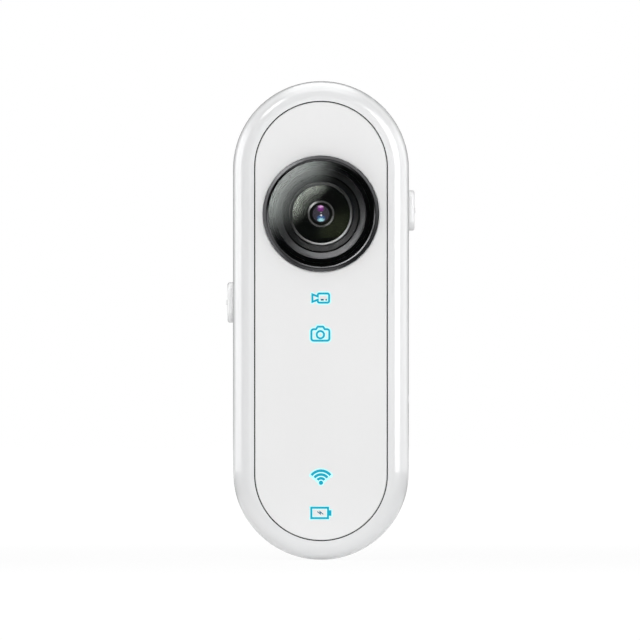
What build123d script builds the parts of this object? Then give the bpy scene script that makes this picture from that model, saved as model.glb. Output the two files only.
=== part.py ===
from build123d import *
import os
from math import acos, atan2, cos, hypot, pi, radians, sin, sqrt

# A thumb-sized body camera, upright as it is worn: +Z up, front face towards -Y, +X to the viewer's
# right. The origin is on the rear face, where the nose of the clip pinches the garment.
# A depth counts forward from the rear face, so a point at depth d lies at y = -d.
# Sizes are in millimetres.

# Housing: two moulded shells with a pill outline
body_width = 27.0
body_height = 73.5
body_depth = 16.4
side_wall = 1.4
rear_wall = 1.4
front_wall = 1.2
rear_round = 3.0
rim_side = 3.23
rim_top = 3.05
rim_bottom = 2.88
rim_flat = 0.3
split_depth = 5.5
split_bevel = 0.15
inner_bevel = 1.0
overrun = 1.0

# Front panel and the adhesive tape behind it
panel_thickness = 1.0
panel_gap = 0.17
panel_sink = 0.05
panel_edge_bevel = 0.12
tape_thickness = 0.15
tape_inset = 0.7

# Gasket in the parting face
gasket_width = 0.6
gasket_height = 0.6

# Case screws and the posts that take them
post_reach = 8.4
post_angle = 45.0
post_radius = 1.9
case_screw_radius = 0.7
case_screw_length = 8.6
case_head_radius = 1.35
case_head_height = 0.8
case_head_sink = 0.15
screw_fit = 0.05
head_fit = 0.15
drive_width = 0.4
drive_depth = 0.35
drive_span_share = 1.3

# Lens: how far its axis stands below the top end, and its rings from the outside in
lens_below_top = 20.38
bezel_radius = 8.87
bezel_rise = 1.9
bezel_bevel = 0.42
bezel_bevel_fall = 0.25
bezel_inner_bevel = 0.18
bezel_neck_radius = 7.9
bezel_neck_reach = 0.1
bezel_fit = 0.1
glass_radius = 8.12
glass_edge = 0.7
glass_crown = 0.55
glass_sink = 0.45
glass_ledge = 0.52
bezel_seal_width = 0.5
bezel_seal_height = 0.5
seat_gap = 0.05
hood_skin = 0.5
hood_slot_radius = 6.92
hood_slot_drop = 0.9
hood_cone_radius = 6.85
hood_cone_inner_radius = 6.02
hood_cone_drop = 0.3
hood_groove_width = 0.2
hood_groove_depth = 0.45
hood_second_inner_radius = 4.98
hood_second_drop = 0.35
hood_lip_width = 0.2
hood_lip_rise = 0.2
hood_lip_fall = 0.2
hood_mouth_radius = 4.5

# Lens barrel, its glass, and the module behind it
barrel_head_radius = 5.2
barrel_head_length = 1.5
barrel_radius = 4.0
barrel_length = 6.3
front_glass_radius = 4.4
front_glass_crown = 0.95
front_glass_edge = 0.5
front_glass_proud = 0.45
funnel_mouth_radius = 4.2
funnel_throat_radius = 2.08
funnel_depth = 1.5
throat_ring_radius = 2.05
throat_ring_bore = 1.76
throat_ring_height = 0.3
throat_ring_bevel = 0.12
throat_ring_bevel_fall = 0.05
middle_glass_radius = 1.35
middle_glass_crown = 0.45
middle_glass_edge = 0.9
rear_glass_radius = 2.3
rear_glass_crown = 0.5
rear_glass_edge = 0.9
barrel_seat = 0.5
glass_fit = 0.03
holder_side = 11.0
holder_base = 1.5
holder_tube_radius = 5.0
holder_tube_height = 3.6
holder_window = 8.0
filter_side = 5.6
filter_thickness = 0.3
filter_ledge = 0.5
sensor_width = 7.0
sensor_height = 6.0
sensor_thickness = 0.6
sensor_board_side = 13.0
sensor_board_thickness = 0.8
sensor_tongue_width = 5.0
sensor_tongue_margin = 1.9
sensor_post_reach = 9.8
sensor_post_radius = 1.5
small_screw_radius = 0.6
small_screw_length = 3.0
small_head_radius = 1.1
small_head_height = 0.5

# Side buttons and the switches behind them
left_button_below_lens = 13.6
right_button_above_lens = 0.54
button_length = 6.2
button_width = 3.0
button_rise = 0.88
button_round = 0.4
button_gap = 0.12
button_travel = 0.4
nib_radius = 0.4
nib_rise = 0.16
nib_bevel = 0.08
flange_margin = 0.6
flange_thickness = 0.6
flange_gap = 0.05
pad_radius = 0.8
pad_length = 0.3
button_seal_width = 0.45
button_seal_height = 0.5
button_seal_fit = 0.05
switch_length = 3.5
switch_height = 1.8
switch_body = 2.4
plunger_out = 0.75
plunger_in = 0.9
plunger_length = 1.5
plunger_thickness = 0.8
plunger_fit = 0.06

# Main circuit board and what stands on it
board_gap = 2.2
board_thickness = 0.9
board_edge_gap = 0.4
board_top_gap = 0.2
board_notch_gap = 0.3
arm_width = 4.8
arm_above_lens = 6.8
board_post_radius = 1.6
board_post_x = 8.6
board_post_above_arc = 0.25
arm_post_x = 9.3
arm_post_above_lens = 4.9
can_width = 11.0
can_height = 13.0
can_rise = 1.5
can_skin = 0.2
can_corner = 0.6
can_x = -4.2
can_above_arc = 12.2
chip_side = 8.0
chip_thickness = 0.9
led_width = 1.6
led_height = 0.8
led_thickness = 0.5
microphone_width = 3.5
microphone_height = 2.6
microphone_thickness = 1.0
microphone_hole_radius = 0.5
microphone_boot_radius = 1.1

# Light guides behind the four icons: width, height, and where each stands
guide_fit = 0.05
guide_flange = 0.25
guide_flange_thickness = 0.5
guide_led_gap = 0.2
video_guide_width = 3.3
video_guide_height = 2.1
video_below_lens = 12.94
photo_guide_width = 3.5
photo_guide_height = 2.9
photo_below_lens = 18.42
wireless_guide_width = 3.5
wireless_guide_height = 2.8
wireless_above_end = 12.61
charge_guide_width = 3.6
charge_guide_height = 2.4
charge_above_end = 7.11

# Battery, its foam pad and its two leads
battery_width = 20.0
battery_thickness = 5.5
battery_corner = 1.0
battery_end_gap = 0.4
foam_thickness = 0.4
foam_inset = 2.5
lead_radius = 0.4
lead_spacing = 1.3
lead_x = 4.6
lead_bow = 1.5
lead_bend = 1.2
lead_from_face = 1.6
lead_sides = 8
plug_width = 3.6
plug_height = 2.8
plug_rise = 1.9
plug_below_edge = 1.7

# Ribbon between the sensor board and the main board
ribbon_width = 3.6
ribbon_thickness = 0.15
ribbon_x = -4.6
ribbon_plug_rise = 1.0
ribbon_plug_height = 2.0
ribbon_bend = 0.8
ribbon_overlap = 0.8

# Loudspeaker, antenna
speaker_radius = 4.0
speaker_height = 2.3
speaker_magnet_radius = 2.8
speaker_frame_height = 1.1
speaker_above_arc = 3.3
speaker_ring_wall = 0.7
speaker_ring_height = 1.6
speaker_fit = 0.1
mesh_thickness = 0.2
mesh_radius = 3.4
sound_hole_radius = 0.45
sound_hole_circle = 1.7
sound_hole_count = 6
antenna_length = 13.0
antenna_width = 3.8
antenna_thickness = 0.15
antenna_slots = 7
antenna_slot_width = 0.5
antenna_track = 0.6
antenna_above_arc = 9.5

# Ports on the right side and the hinged door over them
port_above_arc = 11.2
door_length = 15.0
door_reach = 6.2
door_thickness = 1.15
door_gap = 0.1
door_floor_gap = 0.1
door_corner = 1.2
hinge_depth = 7.4
hinge_pin_radius = 0.25
hinge_pin_fit = 0.03
hinge_pin_reach = 1.2
port_pad_thickness = 1.1
port_pad_margin = 1.2
nail_scoop_radius = 1.4
nail_scoop_out = 1.1
nail_scoop_forward = 0.2
socket_mouth_width = 9.2
socket_mouth_height = 3.5
socket_width = 8.94
socket_height = 3.2
socket_length = 7.3
socket_skin = 0.32
socket_back = 0.9
socket_gap = 0.05
tongue_width = 6.7
tongue_thickness = 0.7
tongue_length = 4.6
plug_seal_fit = 0.3
plug_seal_depth = 0.6
card_length = 15.0
card_width = 11.0
card_thickness = 0.7
card_corner = 1.0
card_notch = 0.7
card_notch_length = 5.0
card_slot_fit = 0.3
card_press = 0.8
card_socket_width = 13.6
card_socket_height = 1.4
card_socket_skin = 0.25
card_back_room = 0.4
card_rib_depth = 0.45

# Clip on the rear face
jaw_length = 30.0
lens_above_pivot = 1.76
bracket_width = 11.4
bracket_height = 15.4
bracket_thickness = 1.3
bracket_corner = 2.0
ear_thickness = 1.4
ear_radius = 1.5
ear_foot = 2.6
pin_radius = 0.75
pin_fit = 0.05
pin_press_gap = 0.01
pin_head_radius = 1.1
pin_head_height = 0.35
clip_screw_offset = 5.6
clip_screw_radius = 0.75
clip_screw_length = 3.9
clip_head_sink = 0.05
clip_head_radius = 1.5
clip_head_height = 0.8
clip_boss_radius = 1.7
clip_boss_height = 2.6
lever_overhang = 0.15
lever_nose_width = 9.0
lever_thickness = 1.5
lever_clearance = 0.1
tab_length = 9.4
tab_rise = 0.6
crown_length = 2.4
jaw_gap = 2.2
jaw_drop_length = 8.0
nose_rise = 5.2
nose_flat = 2.8
nose_thickness = 2.0
nose_gap = 0.3
tip_length = 3.0
tip_rise = 1.6
tip_thickness = 1.0
lever_bend = 5.0
lever_edge_round = 0.35
lever_steep = 40.0
lever_end_round = 2.6
knuckle_width = 1.5
knuckle_gap = 0.15
rib_radius = 0.35
rib_pitch = 1.5
rib_count = 4
rib_margin = 1.6
pad_width = 7.0
pad_height = 2.2
pad_thickness = 0.6
pad_proud = 0.25
pad_groove = 0.25
spring_wire_radius = 0.3
spring_wire_sides = 8
spring_coil_radius = 1.3
spring_pitch = 1.05
spring_half_turns = 7
spring_leg = 4.6
spring_seat = 0.1

# Heights worked out from the clip's pivot upwards and downwards
pivot_height = jaw_length
lens_z = pivot_height + lens_above_pivot
top_z = lens_z + lens_below_top
bottom_z = top_z - body_height
top_arc_z = top_z - body_width / 2
bottom_arc_z = bottom_z + body_width / 2
left_button_z = lens_z - left_button_below_lens
right_button_z = lens_z + right_button_above_lens
port_z = bottom_arc_z + port_above_arc

# Depths worked out from the front face backwards
panel_front = body_depth - panel_sink
panel_back = panel_front - panel_thickness
recess_floor = panel_back - tape_thickness
front_inner = recess_floor - front_wall
board_front = front_inner - board_gap
board_back = board_front - board_thickness
button_depth = board_back - switch_height / 2
bezel_front = panel_front + bezel_rise
glass_seat = bezel_front - glass_sink - glass_edge
front_round = min(rim_side, rim_top, rim_bottom) - rim_flat

# Side distances worked out from the outer wall face inwards
half_width = body_width / 2
inner_half = half_width - side_wall
flange_face = side_wall + flange_gap
flange_back = flange_face + flange_thickness
pad_tip = flange_back + pad_length
switch_face = pad_tip + plunger_out
port_floor = door_thickness + door_floor_gap
port_pad_face = side_wall + port_pad_thickness
board_half = inner_half - board_edge_gap

# The lens, worked out backwards from the cover glass to the sensor board
hood_brim = glass_seat - seat_gap
hood_slot = hood_brim - hood_slot_drop
hood_cone = hood_slot - hood_cone_drop
hood_second = hood_cone - hood_second_drop
hood_under = hood_second - hood_skin
barrel_front = hood_under - seat_gap
barrel_neck = barrel_front - barrel_head_length
barrel_rear = barrel_neck - barrel_length
front_glass_seat = barrel_front - front_glass_edge
funnel_end = front_glass_seat - funnel_depth
ring_seat = funnel_end - throat_ring_height
middle_glass_seat = ring_seat - middle_glass_edge
rear_glass_front = barrel_rear + rear_glass_edge + rear_glass_crown + glass_fit
holder_front = barrel_rear - seat_gap
holder_back = holder_front - holder_base
filter_front = holder_front - filter_ledge
filter_back = filter_front - filter_thickness
sensor_board_back = holder_back - sensor_board_thickness
sensor_post_low_z = lens_z - sensor_post_reach
sensor_post_high_z = lens_z + sensor_post_reach
board_top_z = sensor_post_low_z - sensor_post_radius - board_top_gap

# Where the ports lie, and the room that the battery fills
socket_depth = board_back - socket_height / 2
card_depth = board_front + card_socket_height / 2
card_outer = port_floor + card_rib_depth + card_slot_fit
microphone_depth = board_back - microphone_thickness / 2
microphone_low_z = bottom_arc_z - board_half
battery_back = rear_wall + foam_thickness
battery_front = battery_back + battery_thickness
battery_low_z = bottom_arc_z - post_reach * cos(radians(post_angle)) + post_radius + battery_end_gap
battery_high_z = sensor_post_low_z - sensor_tongue_margin - battery_end_gap
plug_top_z = board_top_z - plug_below_edge
ribbon_plug_top_z = board_top_z - plug_below_edge / 2
speaker_z = top_arc_z + speaker_above_arc

# Clip distances, counted backwards from the rear face
pivot_y = bracket_thickness + spring_seat + spring_coil_radius + spring_wire_radius
lever_under = pivot_y + spring_coil_radius + spring_wire_radius + lever_clearance
lever_width = bracket_width + 2 * (pin_head_height + lever_overhang)


def level(depth, x=0.0, z=0.0):
    """Plane facing forward at a depth, with local X to the right and local Y up."""
    return Plane(origin=(x, -depth, z), x_dir=(1, 0, 0), z_dir=(0, -1, 0))


def side_level(side, z, depth, inward=0.0):
    """Plane facing out of a side wall, with local X up, set inward from the outer wall face."""
    return Plane(origin=(side * (half_width - inward), -depth, z), x_dir=(0, 0, 1), z_dir=(side, 0, 0))


def outline(*points):
    """Face inside straight lines through the points."""
    return make_face(Polyline(*points, close=True))


def pill(width, low, high, back, front):
    """Upright pill with its arc centres at two heights, from one depth to another."""
    face = SlotCenterToCenter(high - low, width, rotation=90)
    return extrude(level(back, 0, (low + high) / 2) * face, front - back)


def block(x, z, width, height, back, front):
    """Upright block centred on x and z, from one depth to another."""
    return extrude(level(back, x, z) * Rectangle(width, height), front - back)


def rod(x, z, radius, back, front):
    """Round bar pointing forward, from one depth to another."""
    return extrude(level(back, x, z) * Circle(radius), front - back)


def side_block(side, z, depth, length, height, inward, reach):
    """Block lying along a side axis: length is upright, height is fore and aft."""
    return extrude(side_level(side, z, depth, inward + reach) * Rectangle(length, height), reach)


def side_slot(side, z, depth, length, height, inward, reach):
    """Round-ended bar lying along a side axis."""
    return extrude(side_level(side, z, depth, inward + reach) * SlotOverall(length, height), reach)


def turned(face, x=0.0, z=0.0):
    """Solid of revolution about a forward axis; the face is drawn as radius across, depth up."""
    return Plane(origin=(x, 0, z), x_dir=(1, 0, 0), z_dir=(0, -1, 0)) * revolve(Plane.XZ * face, Axis.Z)


def screw(x, z, head_depth, radius, length, head_radius, head_height):
    """Pan-head screw pointing forward, its head's rear face at a depth, with a cross drive."""
    seat = head_depth + head_height
    body = rod(x, z, head_radius, head_depth, seat) + rod(x, z, radius, seat, seat + length)
    drive_span = head_radius * drive_span_share
    for size in ((drive_span, drive_width), (drive_width, drive_span)):
        body -= block(x, z, *size, head_depth, head_depth + drive_depth)
    return body


def outer_form():
    """The whole outside of the housing, with its front and rear edges rounded."""
    form = pill(body_width, bottom_arc_z, top_arc_z, 0, body_depth)
    form = fillet(form.faces().sort_by(Axis.Y)[0].edges(), front_round)
    return fillet(form.faces().sort_by(Axis.Y)[-1].edges(), rear_round)


def inner_form():
    """The room inside both shells."""
    form = pill(2 * inner_half, bottom_arc_z, top_arc_z, rear_wall, front_inner)
    form = chamfer(form.faces().sort_by(Axis.Y)[0].edges(), inner_bevel)
    return chamfer(form.faces().sort_by(Axis.Y)[-1].edges(), inner_bevel)


def case_posts():
    """The x and z of the four posts that the case screws draw together."""
    across = post_reach * sin(radians(post_angle))
    along = post_reach * cos(radians(post_angle))
    return [(side * across, arc + way * along)
            for arc, way in ((top_arc_z, 1), (bottom_arc_z, -1)) for side in (-1, 1)]


def board_posts():
    """The x and z of the three posts that the main board is screwed to."""
    low = bottom_arc_z + board_post_above_arc
    return [(-board_post_x, low), (board_post_x, low), (arm_post_x, lens_z + arm_post_above_lens)]


def icons():
    """Each icon's name, height, and the width and height of the light guide behind it."""
    return [
        ("video", lens_z - video_below_lens, video_guide_width, video_guide_height),
        ("photo", lens_z - photo_below_lens, photo_guide_width, photo_guide_height),
        ("wireless", bottom_z + wireless_above_end, wireless_guide_width, wireless_guide_height),
        ("charge", bottom_z + charge_above_end, charge_guide_width, charge_guide_height),
    ]


def buttons():
    """Each button's name, side and height."""
    return [("left", -1, left_button_z), ("right", 1, right_button_z)]


def parting_bevel(depth):
    """Ring that bevels a shell's outer edge at the parting line."""
    ring = pill(body_width + 2 * overrun, bottom_arc_z, top_arc_z, depth - split_bevel, depth + split_bevel)
    core = pill(body_width - 2 * split_bevel, bottom_arc_z, top_arc_z, depth - overrun, depth + overrun)
    return ring - core


def make_front_housing():
    """Glossy front shell: side walls, rounded rim, and the wall that the panel is taped to."""
    shell = outer_form() - inner_form()
    shell -= pill(body_width + 2 * overrun, bottom_arc_z, top_arc_z, -overrun, split_depth)
    shell -= parting_bevel(split_depth)
    for x, z in case_posts():
        shell += rod(x, z, post_radius, split_depth, front_inner + front_wall / 2)
    for z in (sensor_post_low_z, sensor_post_high_z):
        shell += rod(0, z, sensor_post_radius, holder_back, front_inner + front_wall / 2)
    for x, z in board_posts():
        shell += rod(x, z, board_post_radius, board_front, front_inner + front_wall / 2)
    shell += side_block(1, port_z, hinge_depth + door_reach / 2, door_length + 2 * port_pad_margin,
                        door_reach + 2 * port_pad_margin, side_wall / 2, port_pad_face - side_wall / 2)

    shell -= panel_outline(0, recess_floor, body_depth + overrun)
    shell -= rod(0, lens_z, bezel_neck_radius + bezel_fit, front_inner - overrun, body_depth)
    shell -= rod(0, lens_z, bezel_neck_radius + bezel_fit + bezel_seal_width,
                 recess_floor - bezel_seal_height, body_depth)
    for _, z, width, height in icons():
        shell -= block(0, z, width + 2 * guide_fit, height + 2 * guide_fit,
                       front_inner - overrun, body_depth)
    for x, z in case_posts():
        shell -= rod(x, z, case_screw_radius + screw_fit, split_depth - overrun,
                     case_head_sink + case_head_height + case_screw_length + screw_fit)
    for z in (sensor_post_low_z, sensor_post_high_z):
        shell -= rod(0, z, small_screw_radius + screw_fit, holder_back - overrun,
                     sensor_board_back + small_screw_length + screw_fit)
    for x, z in board_posts():
        shell -= rod(x, z, small_screw_radius + screw_fit, board_front - overrun,
                     board_back + small_screw_length + screw_fit)

    for _, side, z in buttons():
        shell -= side_slot(side, z, button_depth, button_length + 2 * button_gap,
                           button_width + 2 * button_gap, -overrun, side_wall + 2 * overrun)
        rim = 2 * (button_seal_fit + button_seal_width)
        shell -= side_slot(side, z, button_depth, button_length + rim, button_width + rim,
                           side_wall - button_seal_height, button_seal_height + overrun)
    shell -= microphone_bore(microphone_hole_radius, bottom_z - overrun, bottom_z + side_wall + overrun)
    return shell - door_cuts()


def door_cuts():
    """Pocket, openings, pin hole and nail scoop that the port door needs in the wall."""
    cuts = door_plate(door_gap, door_thickness / 2 + door_gap, -overrun, port_floor + overrun)
    cuts += side_slot(1, port_z, socket_depth, socket_mouth_width, socket_mouth_height,
                      0, port_pad_face + overrun)
    cuts += side_block(1, port_z, card_depth, card_width + 2 * card_slot_fit,
                       card_thickness + 2 * card_slot_fit, 0, port_pad_face + overrun)
    cuts += hinge_bar(hinge_pin_radius + hinge_pin_fit, hinge_pin_reach + hinge_pin_fit)
    scoop = Pos(half_width + nail_scoop_out, -hinge_depth - door_reach - nail_scoop_forward, port_z)
    return cuts + scoop * Sphere(nail_scoop_radius)


def hinge_bar(radius, reach):
    """Upright bar on the door's hinge axis, reaching past both ends of the door."""
    length = door_length + 2 * reach
    place = Pos(half_width - door_thickness / 2, -hinge_depth, port_z)
    return place * Cylinder(radius, length)


def panel_outline(inset, back, front):
    """The panel's pill, drawn in by an inset, from one depth to another."""
    width = body_width - 2 * rim_side - 2 * inset
    low = bottom_z + rim_bottom + inset + width / 2
    high = top_z - rim_top - inset - width / 2
    return pill(width, low, high, back, front)


def make_rear_cover():
    """Rear shell: floor, low walls, screw posts, clip bosses and the loudspeaker's ring."""
    shell = outer_form() - inner_form()
    shell -= pill(body_width + 2 * overrun, bottom_arc_z, top_arc_z, split_depth, body_depth + overrun)
    shell -= parting_bevel(split_depth)
    shell -= gasket_ring()
    for x, z in case_posts():
        shell += rod(x, z, post_radius, rear_wall / 2, split_depth)
    for z in clip_screw_heights():
        shell += rod(0, z, clip_boss_radius, rear_wall / 2, rear_wall + clip_boss_height)
    ring = speaker_radius + speaker_fit
    shell += (rod(0, speaker_z, ring + speaker_ring_wall, rear_wall / 2, rear_wall + speaker_ring_height)
              - rod(0, speaker_z, ring, rear_wall / 2, rear_wall + speaker_ring_height))
    for x, z in case_posts():
        shell -= rod(x, z, case_screw_radius + 2 * screw_fit, -overrun, split_depth + overrun)
        shell -= rod(x, z, case_head_radius + head_fit, -overrun, case_head_sink + case_head_height)
    for z in clip_screw_heights():
        shell -= rod(0, z, clip_screw_radius + screw_fit, -overrun, clip_screw_end() + screw_fit)
    shell -= rod(0, speaker_z, sound_hole_radius, -overrun, rear_wall + overrun)
    for i in range(sound_hole_count):
        turn = 2 * pi * i / sound_hole_count
        shell -= rod(sound_hole_circle * cos(turn), speaker_z + sound_hole_circle * sin(turn),
                     sound_hole_radius, -overrun, rear_wall + overrun)
    return shell


def gasket_ring():
    """Pill ring in the middle of the wall's thickness, its front face in the parting plane."""
    middle = body_width - side_wall
    back = split_depth - gasket_height
    ring = pill(middle + gasket_width, bottom_arc_z, top_arc_z, back, split_depth)
    return ring - pill(middle - gasket_width, bottom_arc_z, top_arc_z, back, split_depth)


def make_front_panel():
    """Flat white panel with the lens hole, its front edge softened."""
    panel = panel_outline(panel_gap, panel_back, panel_front)
    panel = chamfer(panel.faces().sort_by(Axis.Y)[0].edges(), panel_edge_bevel)
    return panel - rod(0, lens_z, bezel_radius + bezel_fit, panel_back - overrun, panel_front + overrun)


def make_panel_tape():
    """Double-sided tape behind the panel, open at the lens and at each icon."""
    tape = panel_outline(panel_gap + tape_inset, recess_floor, panel_back)
    tape -= rod(0, lens_z, bezel_radius + bezel_fit, recess_floor - overrun, panel_back + overrun)
    for _, z, width, height in icons():
        tape -= block(0, z, width + 2 * guide_fit, height + 2 * guide_fit,
                      recess_floor - overrun, panel_back + overrun)
    return tape


def make_case_screws():
    """Four screws that draw the rear cover to the front housing."""
    return [screw(x, z, case_head_sink, case_screw_radius, case_screw_length,
                  case_head_radius, case_head_height)
            for x, z in case_posts()]


def make_lens_bezel():
    """Dark ring round the glass, bevelled outside and inside, with a neck through the front wall."""
    bore = glass_radius - glass_ledge
    neck_end = front_inner - bezel_neck_reach
    face = outline(
        (bezel_radius, recess_floor),
        (bezel_radius, bezel_front - bezel_bevel_fall),
        (bezel_radius - bezel_bevel, bezel_front),
        (glass_radius + glass_fit + bezel_inner_bevel, bezel_front),
        (glass_radius + glass_fit, bezel_front - bezel_inner_bevel),
        (glass_radius + glass_fit, glass_seat),
        (bore, glass_seat),
        (bore, neck_end),
        (bezel_neck_radius, neck_end),
        (bezel_neck_radius, recess_floor),
    )
    return turned(face, z=lens_z)


def lens_face(radius, crown, edge, back):
    """Half section of a glass disc with a domed front, its flat back at a depth."""
    rim = back + edge
    return make_face([
        Line((0, back), (radius, back)),
        Line((radius, back), (radius, rim)),
        SagittaArc((radius, rim), (0, rim + crown), dome_sagitta(radius, crown)),
        Line((0, rim + crown), (0, back)),
    ])


def dome_sagitta(radius, crown):
    """How far half of a dome's arc bows out from the chord between its rim and its top."""
    ball = (radius ** 2 + crown ** 2) / (2 * crown)
    chord = hypot(radius, crown)
    return -(ball - sqrt(ball ** 2 - chord ** 2 / 4))


def make_cover_glass():
    """Domed cover glass in the bezel."""
    return turned(lens_face(glass_radius, glass_crown, glass_edge, glass_seat), z=lens_z)


def make_bezel_seal():
    """Square-cut ring seal under the bezel's flange, in a step of the front wall."""
    bore = bezel_neck_radius + bezel_fit
    ring = rod(0, lens_z, bore + bezel_seal_width, recess_floor - bezel_seal_height, recess_floor)
    return ring - rod(0, lens_z, bore, recess_floor - bezel_seal_height, recess_floor)


def make_lens_hood():
    """Stepped black funnel between the cover glass and the front lens."""
    edge = glass_radius - glass_ledge - seat_gap
    groove_radius = hood_cone_inner_radius - hood_groove_width
    groove_floor = hood_cone - hood_groove_depth
    lip = hood_second_inner_radius - hood_lip_width
    inside = hood_cone_radius - hood_skin
    face = outline(
        (edge, hood_brim),
        (hood_slot_radius, hood_brim),
        (hood_cone_radius, hood_slot),
        (hood_cone_inner_radius, hood_cone),
        (hood_cone_inner_radius, groove_floor),
        (groove_radius, groove_floor),
        (groove_radius, hood_cone),
        (hood_second_inner_radius, hood_second),
        (lip, hood_second + hood_lip_rise),
        (hood_mouth_radius, hood_second + hood_lip_rise - hood_lip_fall),
        (hood_mouth_radius, hood_under),
        (groove_radius, hood_under),
        (groove_radius, groove_floor - hood_skin),
        (inside, groove_floor - hood_skin),
        (inside, front_inner),
        (edge, front_inner),
    )
    return turned(face, z=lens_z)


def make_lens_barrel():
    """Black barrel: a wide head for the front lens, a funnel, and a threaded tube behind."""
    middle_bore = middle_glass_radius - barrel_seat
    face = outline(
        (front_glass_radius + glass_fit, barrel_front),
        (front_glass_radius + glass_fit, front_glass_seat),
        (funnel_mouth_radius, front_glass_seat),
        (funnel_throat_radius, funnel_end),
        (funnel_throat_radius, ring_seat),
        (middle_glass_radius + glass_fit, ring_seat),
        (middle_glass_radius + glass_fit, middle_glass_seat),
        (middle_bore, middle_glass_seat),
        (middle_bore, rear_glass_front),
        (rear_glass_radius + glass_fit, rear_glass_front),
        (rear_glass_radius + glass_fit, barrel_rear),
        (barrel_radius, barrel_rear),
        (barrel_radius, barrel_neck),
        (barrel_head_radius, barrel_neck),
        (barrel_head_radius, barrel_front),
    )
    return turned(face, z=lens_z)


def make_front_lens():
    """Large domed element at the front of the barrel, standing a little proud in the hood's mouth."""
    edge = front_glass_edge + front_glass_proud
    return turned(lens_face(front_glass_radius, front_glass_crown, edge, front_glass_seat), z=lens_z)


def make_throat_ring():
    """Bright retaining ring in the throat of the funnel, bevelled on both sides."""
    face = outline(
        (throat_ring_bore, ring_seat),
        (throat_ring_radius, ring_seat),
        (throat_ring_radius, funnel_end - throat_ring_bevel_fall),
        (throat_ring_radius - throat_ring_bevel, funnel_end),
        (throat_ring_bore + throat_ring_bevel, funnel_end),
        (throat_ring_bore, funnel_end - throat_ring_bevel_fall),
    )
    return turned(face, z=lens_z)


def make_middle_lens():
    """Small coated element that shows in the middle of the funnel."""
    face = lens_face(middle_glass_radius, middle_glass_crown, middle_glass_edge, middle_glass_seat)
    return turned(face, z=lens_z)


def make_rear_lens():
    """Rear element, in the back end of the barrel."""
    return turned(lens_face(rear_glass_radius, rear_glass_crown, rear_glass_edge, barrel_rear), z=lens_z)


def make_lens_holder():
    """Square holder that the barrel screws into, over the image sensor."""
    holder = block(0, lens_z, holder_side, holder_side, holder_back, holder_front)
    holder += rod(0, lens_z, holder_tube_radius, holder_front, holder_front + holder_tube_height)
    holder -= rod(0, lens_z, barrel_radius + glass_fit, holder_front, holder_front + holder_tube_height)
    holder -= block(0, lens_z, holder_window, holder_window, holder_back, filter_back)
    holder -= block(0, lens_z, filter_side, filter_side, holder_back, filter_front)
    window = filter_side - 2 * filter_ledge
    return holder - block(0, lens_z, window, window, holder_back, holder_front)


def make_infrared_filter():
    """Thin square filter under the holder's ledge."""
    side = filter_side - 2 * glass_fit
    return block(0, lens_z, side, side, filter_back, filter_front)


def make_image_sensor():
    """Image sensor chip on its board."""
    return block(0, lens_z, sensor_width, sensor_height, holder_back, holder_back + sensor_thickness)


def make_sensor_board():
    """Small circuit board behind the lens, with a screw tongue above and below."""
    board = block(0, lens_z, sensor_board_side, sensor_board_side, sensor_board_back, holder_back)
    ends = sensor_post_reach + sensor_tongue_margin - sensor_tongue_width / 2
    board += pill(sensor_tongue_width, lens_z - ends, lens_z + ends, sensor_board_back, holder_back)
    for z in (sensor_post_low_z, sensor_post_high_z):
        board -= rod(0, z, small_screw_radius + 2 * screw_fit, sensor_board_back, holder_back)
    return board


def make_sensor_screws():
    """Two small screws through the sensor board's tongues."""
    return [screw(0, z, sensor_board_back - small_head_height, small_screw_radius, small_screw_length,
                  small_head_radius, small_head_height)
            for z in (sensor_post_low_z, sensor_post_high_z)]


def flat_path(x):
    """Plane for paths that run fore and aft: local X forward, local Y up, facing left."""
    return Plane(origin=(x, 0, 0), x_dir=(0, -1, 0), z_dir=(-1, 0, 0))


def make_sensor_ribbon():
    """Flat ribbon from behind the sensor board down into its plug on the main board."""
    start = sensor_board_back - ribbon_thickness / 2
    end = board_back - ribbon_plug_rise / 2
    board_low_z = lens_z - sensor_board_side / 2
    turn_z = (board_low_z + ribbon_plug_top_z) / 2
    line = FilletPolyline((start, board_low_z + ribbon_overlap), (start, turn_z), (end, turn_z),
                          (end, ribbon_plug_top_z), radius=ribbon_bend)
    face = flat_path(ribbon_x + ribbon_width / 2) * trace(line, ribbon_thickness)
    return extrude(face, ribbon_width)


def make_ribbon_plug():
    """Low plug on the rear of the main board that takes the ribbon."""
    middle = ribbon_plug_top_z - ribbon_plug_height / 2
    return block(ribbon_x, middle, ribbon_width + 2 * ribbon_plug_rise, ribbon_plug_height,
                 board_back - ribbon_plug_rise, board_back)


def make_button(side, z):
    """Push button: a round-ended cap with a raised nib, a flange inside the wall, and a pad."""
    cap = side_slot(side, z, button_depth, button_length, button_width,
                    -button_rise, button_rise + flange_face)
    cap = fillet(cap.faces().sort_by(Axis.X)[-1 if side > 0 else 0].edges(), button_round)
    nib = extrude(side_level(side, z, button_depth, -button_rise) * Circle(nib_radius), nib_rise)
    nib = chamfer(nib.faces().sort_by(Axis.X)[-1 if side > 0 else 0].edges(), nib_bevel)
    flange = side_slot(side, z, button_depth, button_length + 2 * flange_margin,
                       button_width + 2 * flange_margin, flange_face, flange_thickness)
    pad = extrude(side_level(side, z, button_depth, pad_tip) * Circle(pad_radius), pad_length)
    return cap + nib + flange + pad


def make_button_seal(side, z):
    """Rubber ring round a button's cap, in the inner edge of its hole."""
    inner = 2 * button_seal_fit
    outer = 2 * (button_seal_fit + button_seal_width)
    start = side_wall - button_seal_height
    ring = side_slot(side, z, button_depth, button_length + outer, button_width + outer,
                     start, button_seal_height)
    return ring - side_slot(side, z, button_depth, button_length + inner, button_width + inner,
                            start, button_seal_height)


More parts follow.
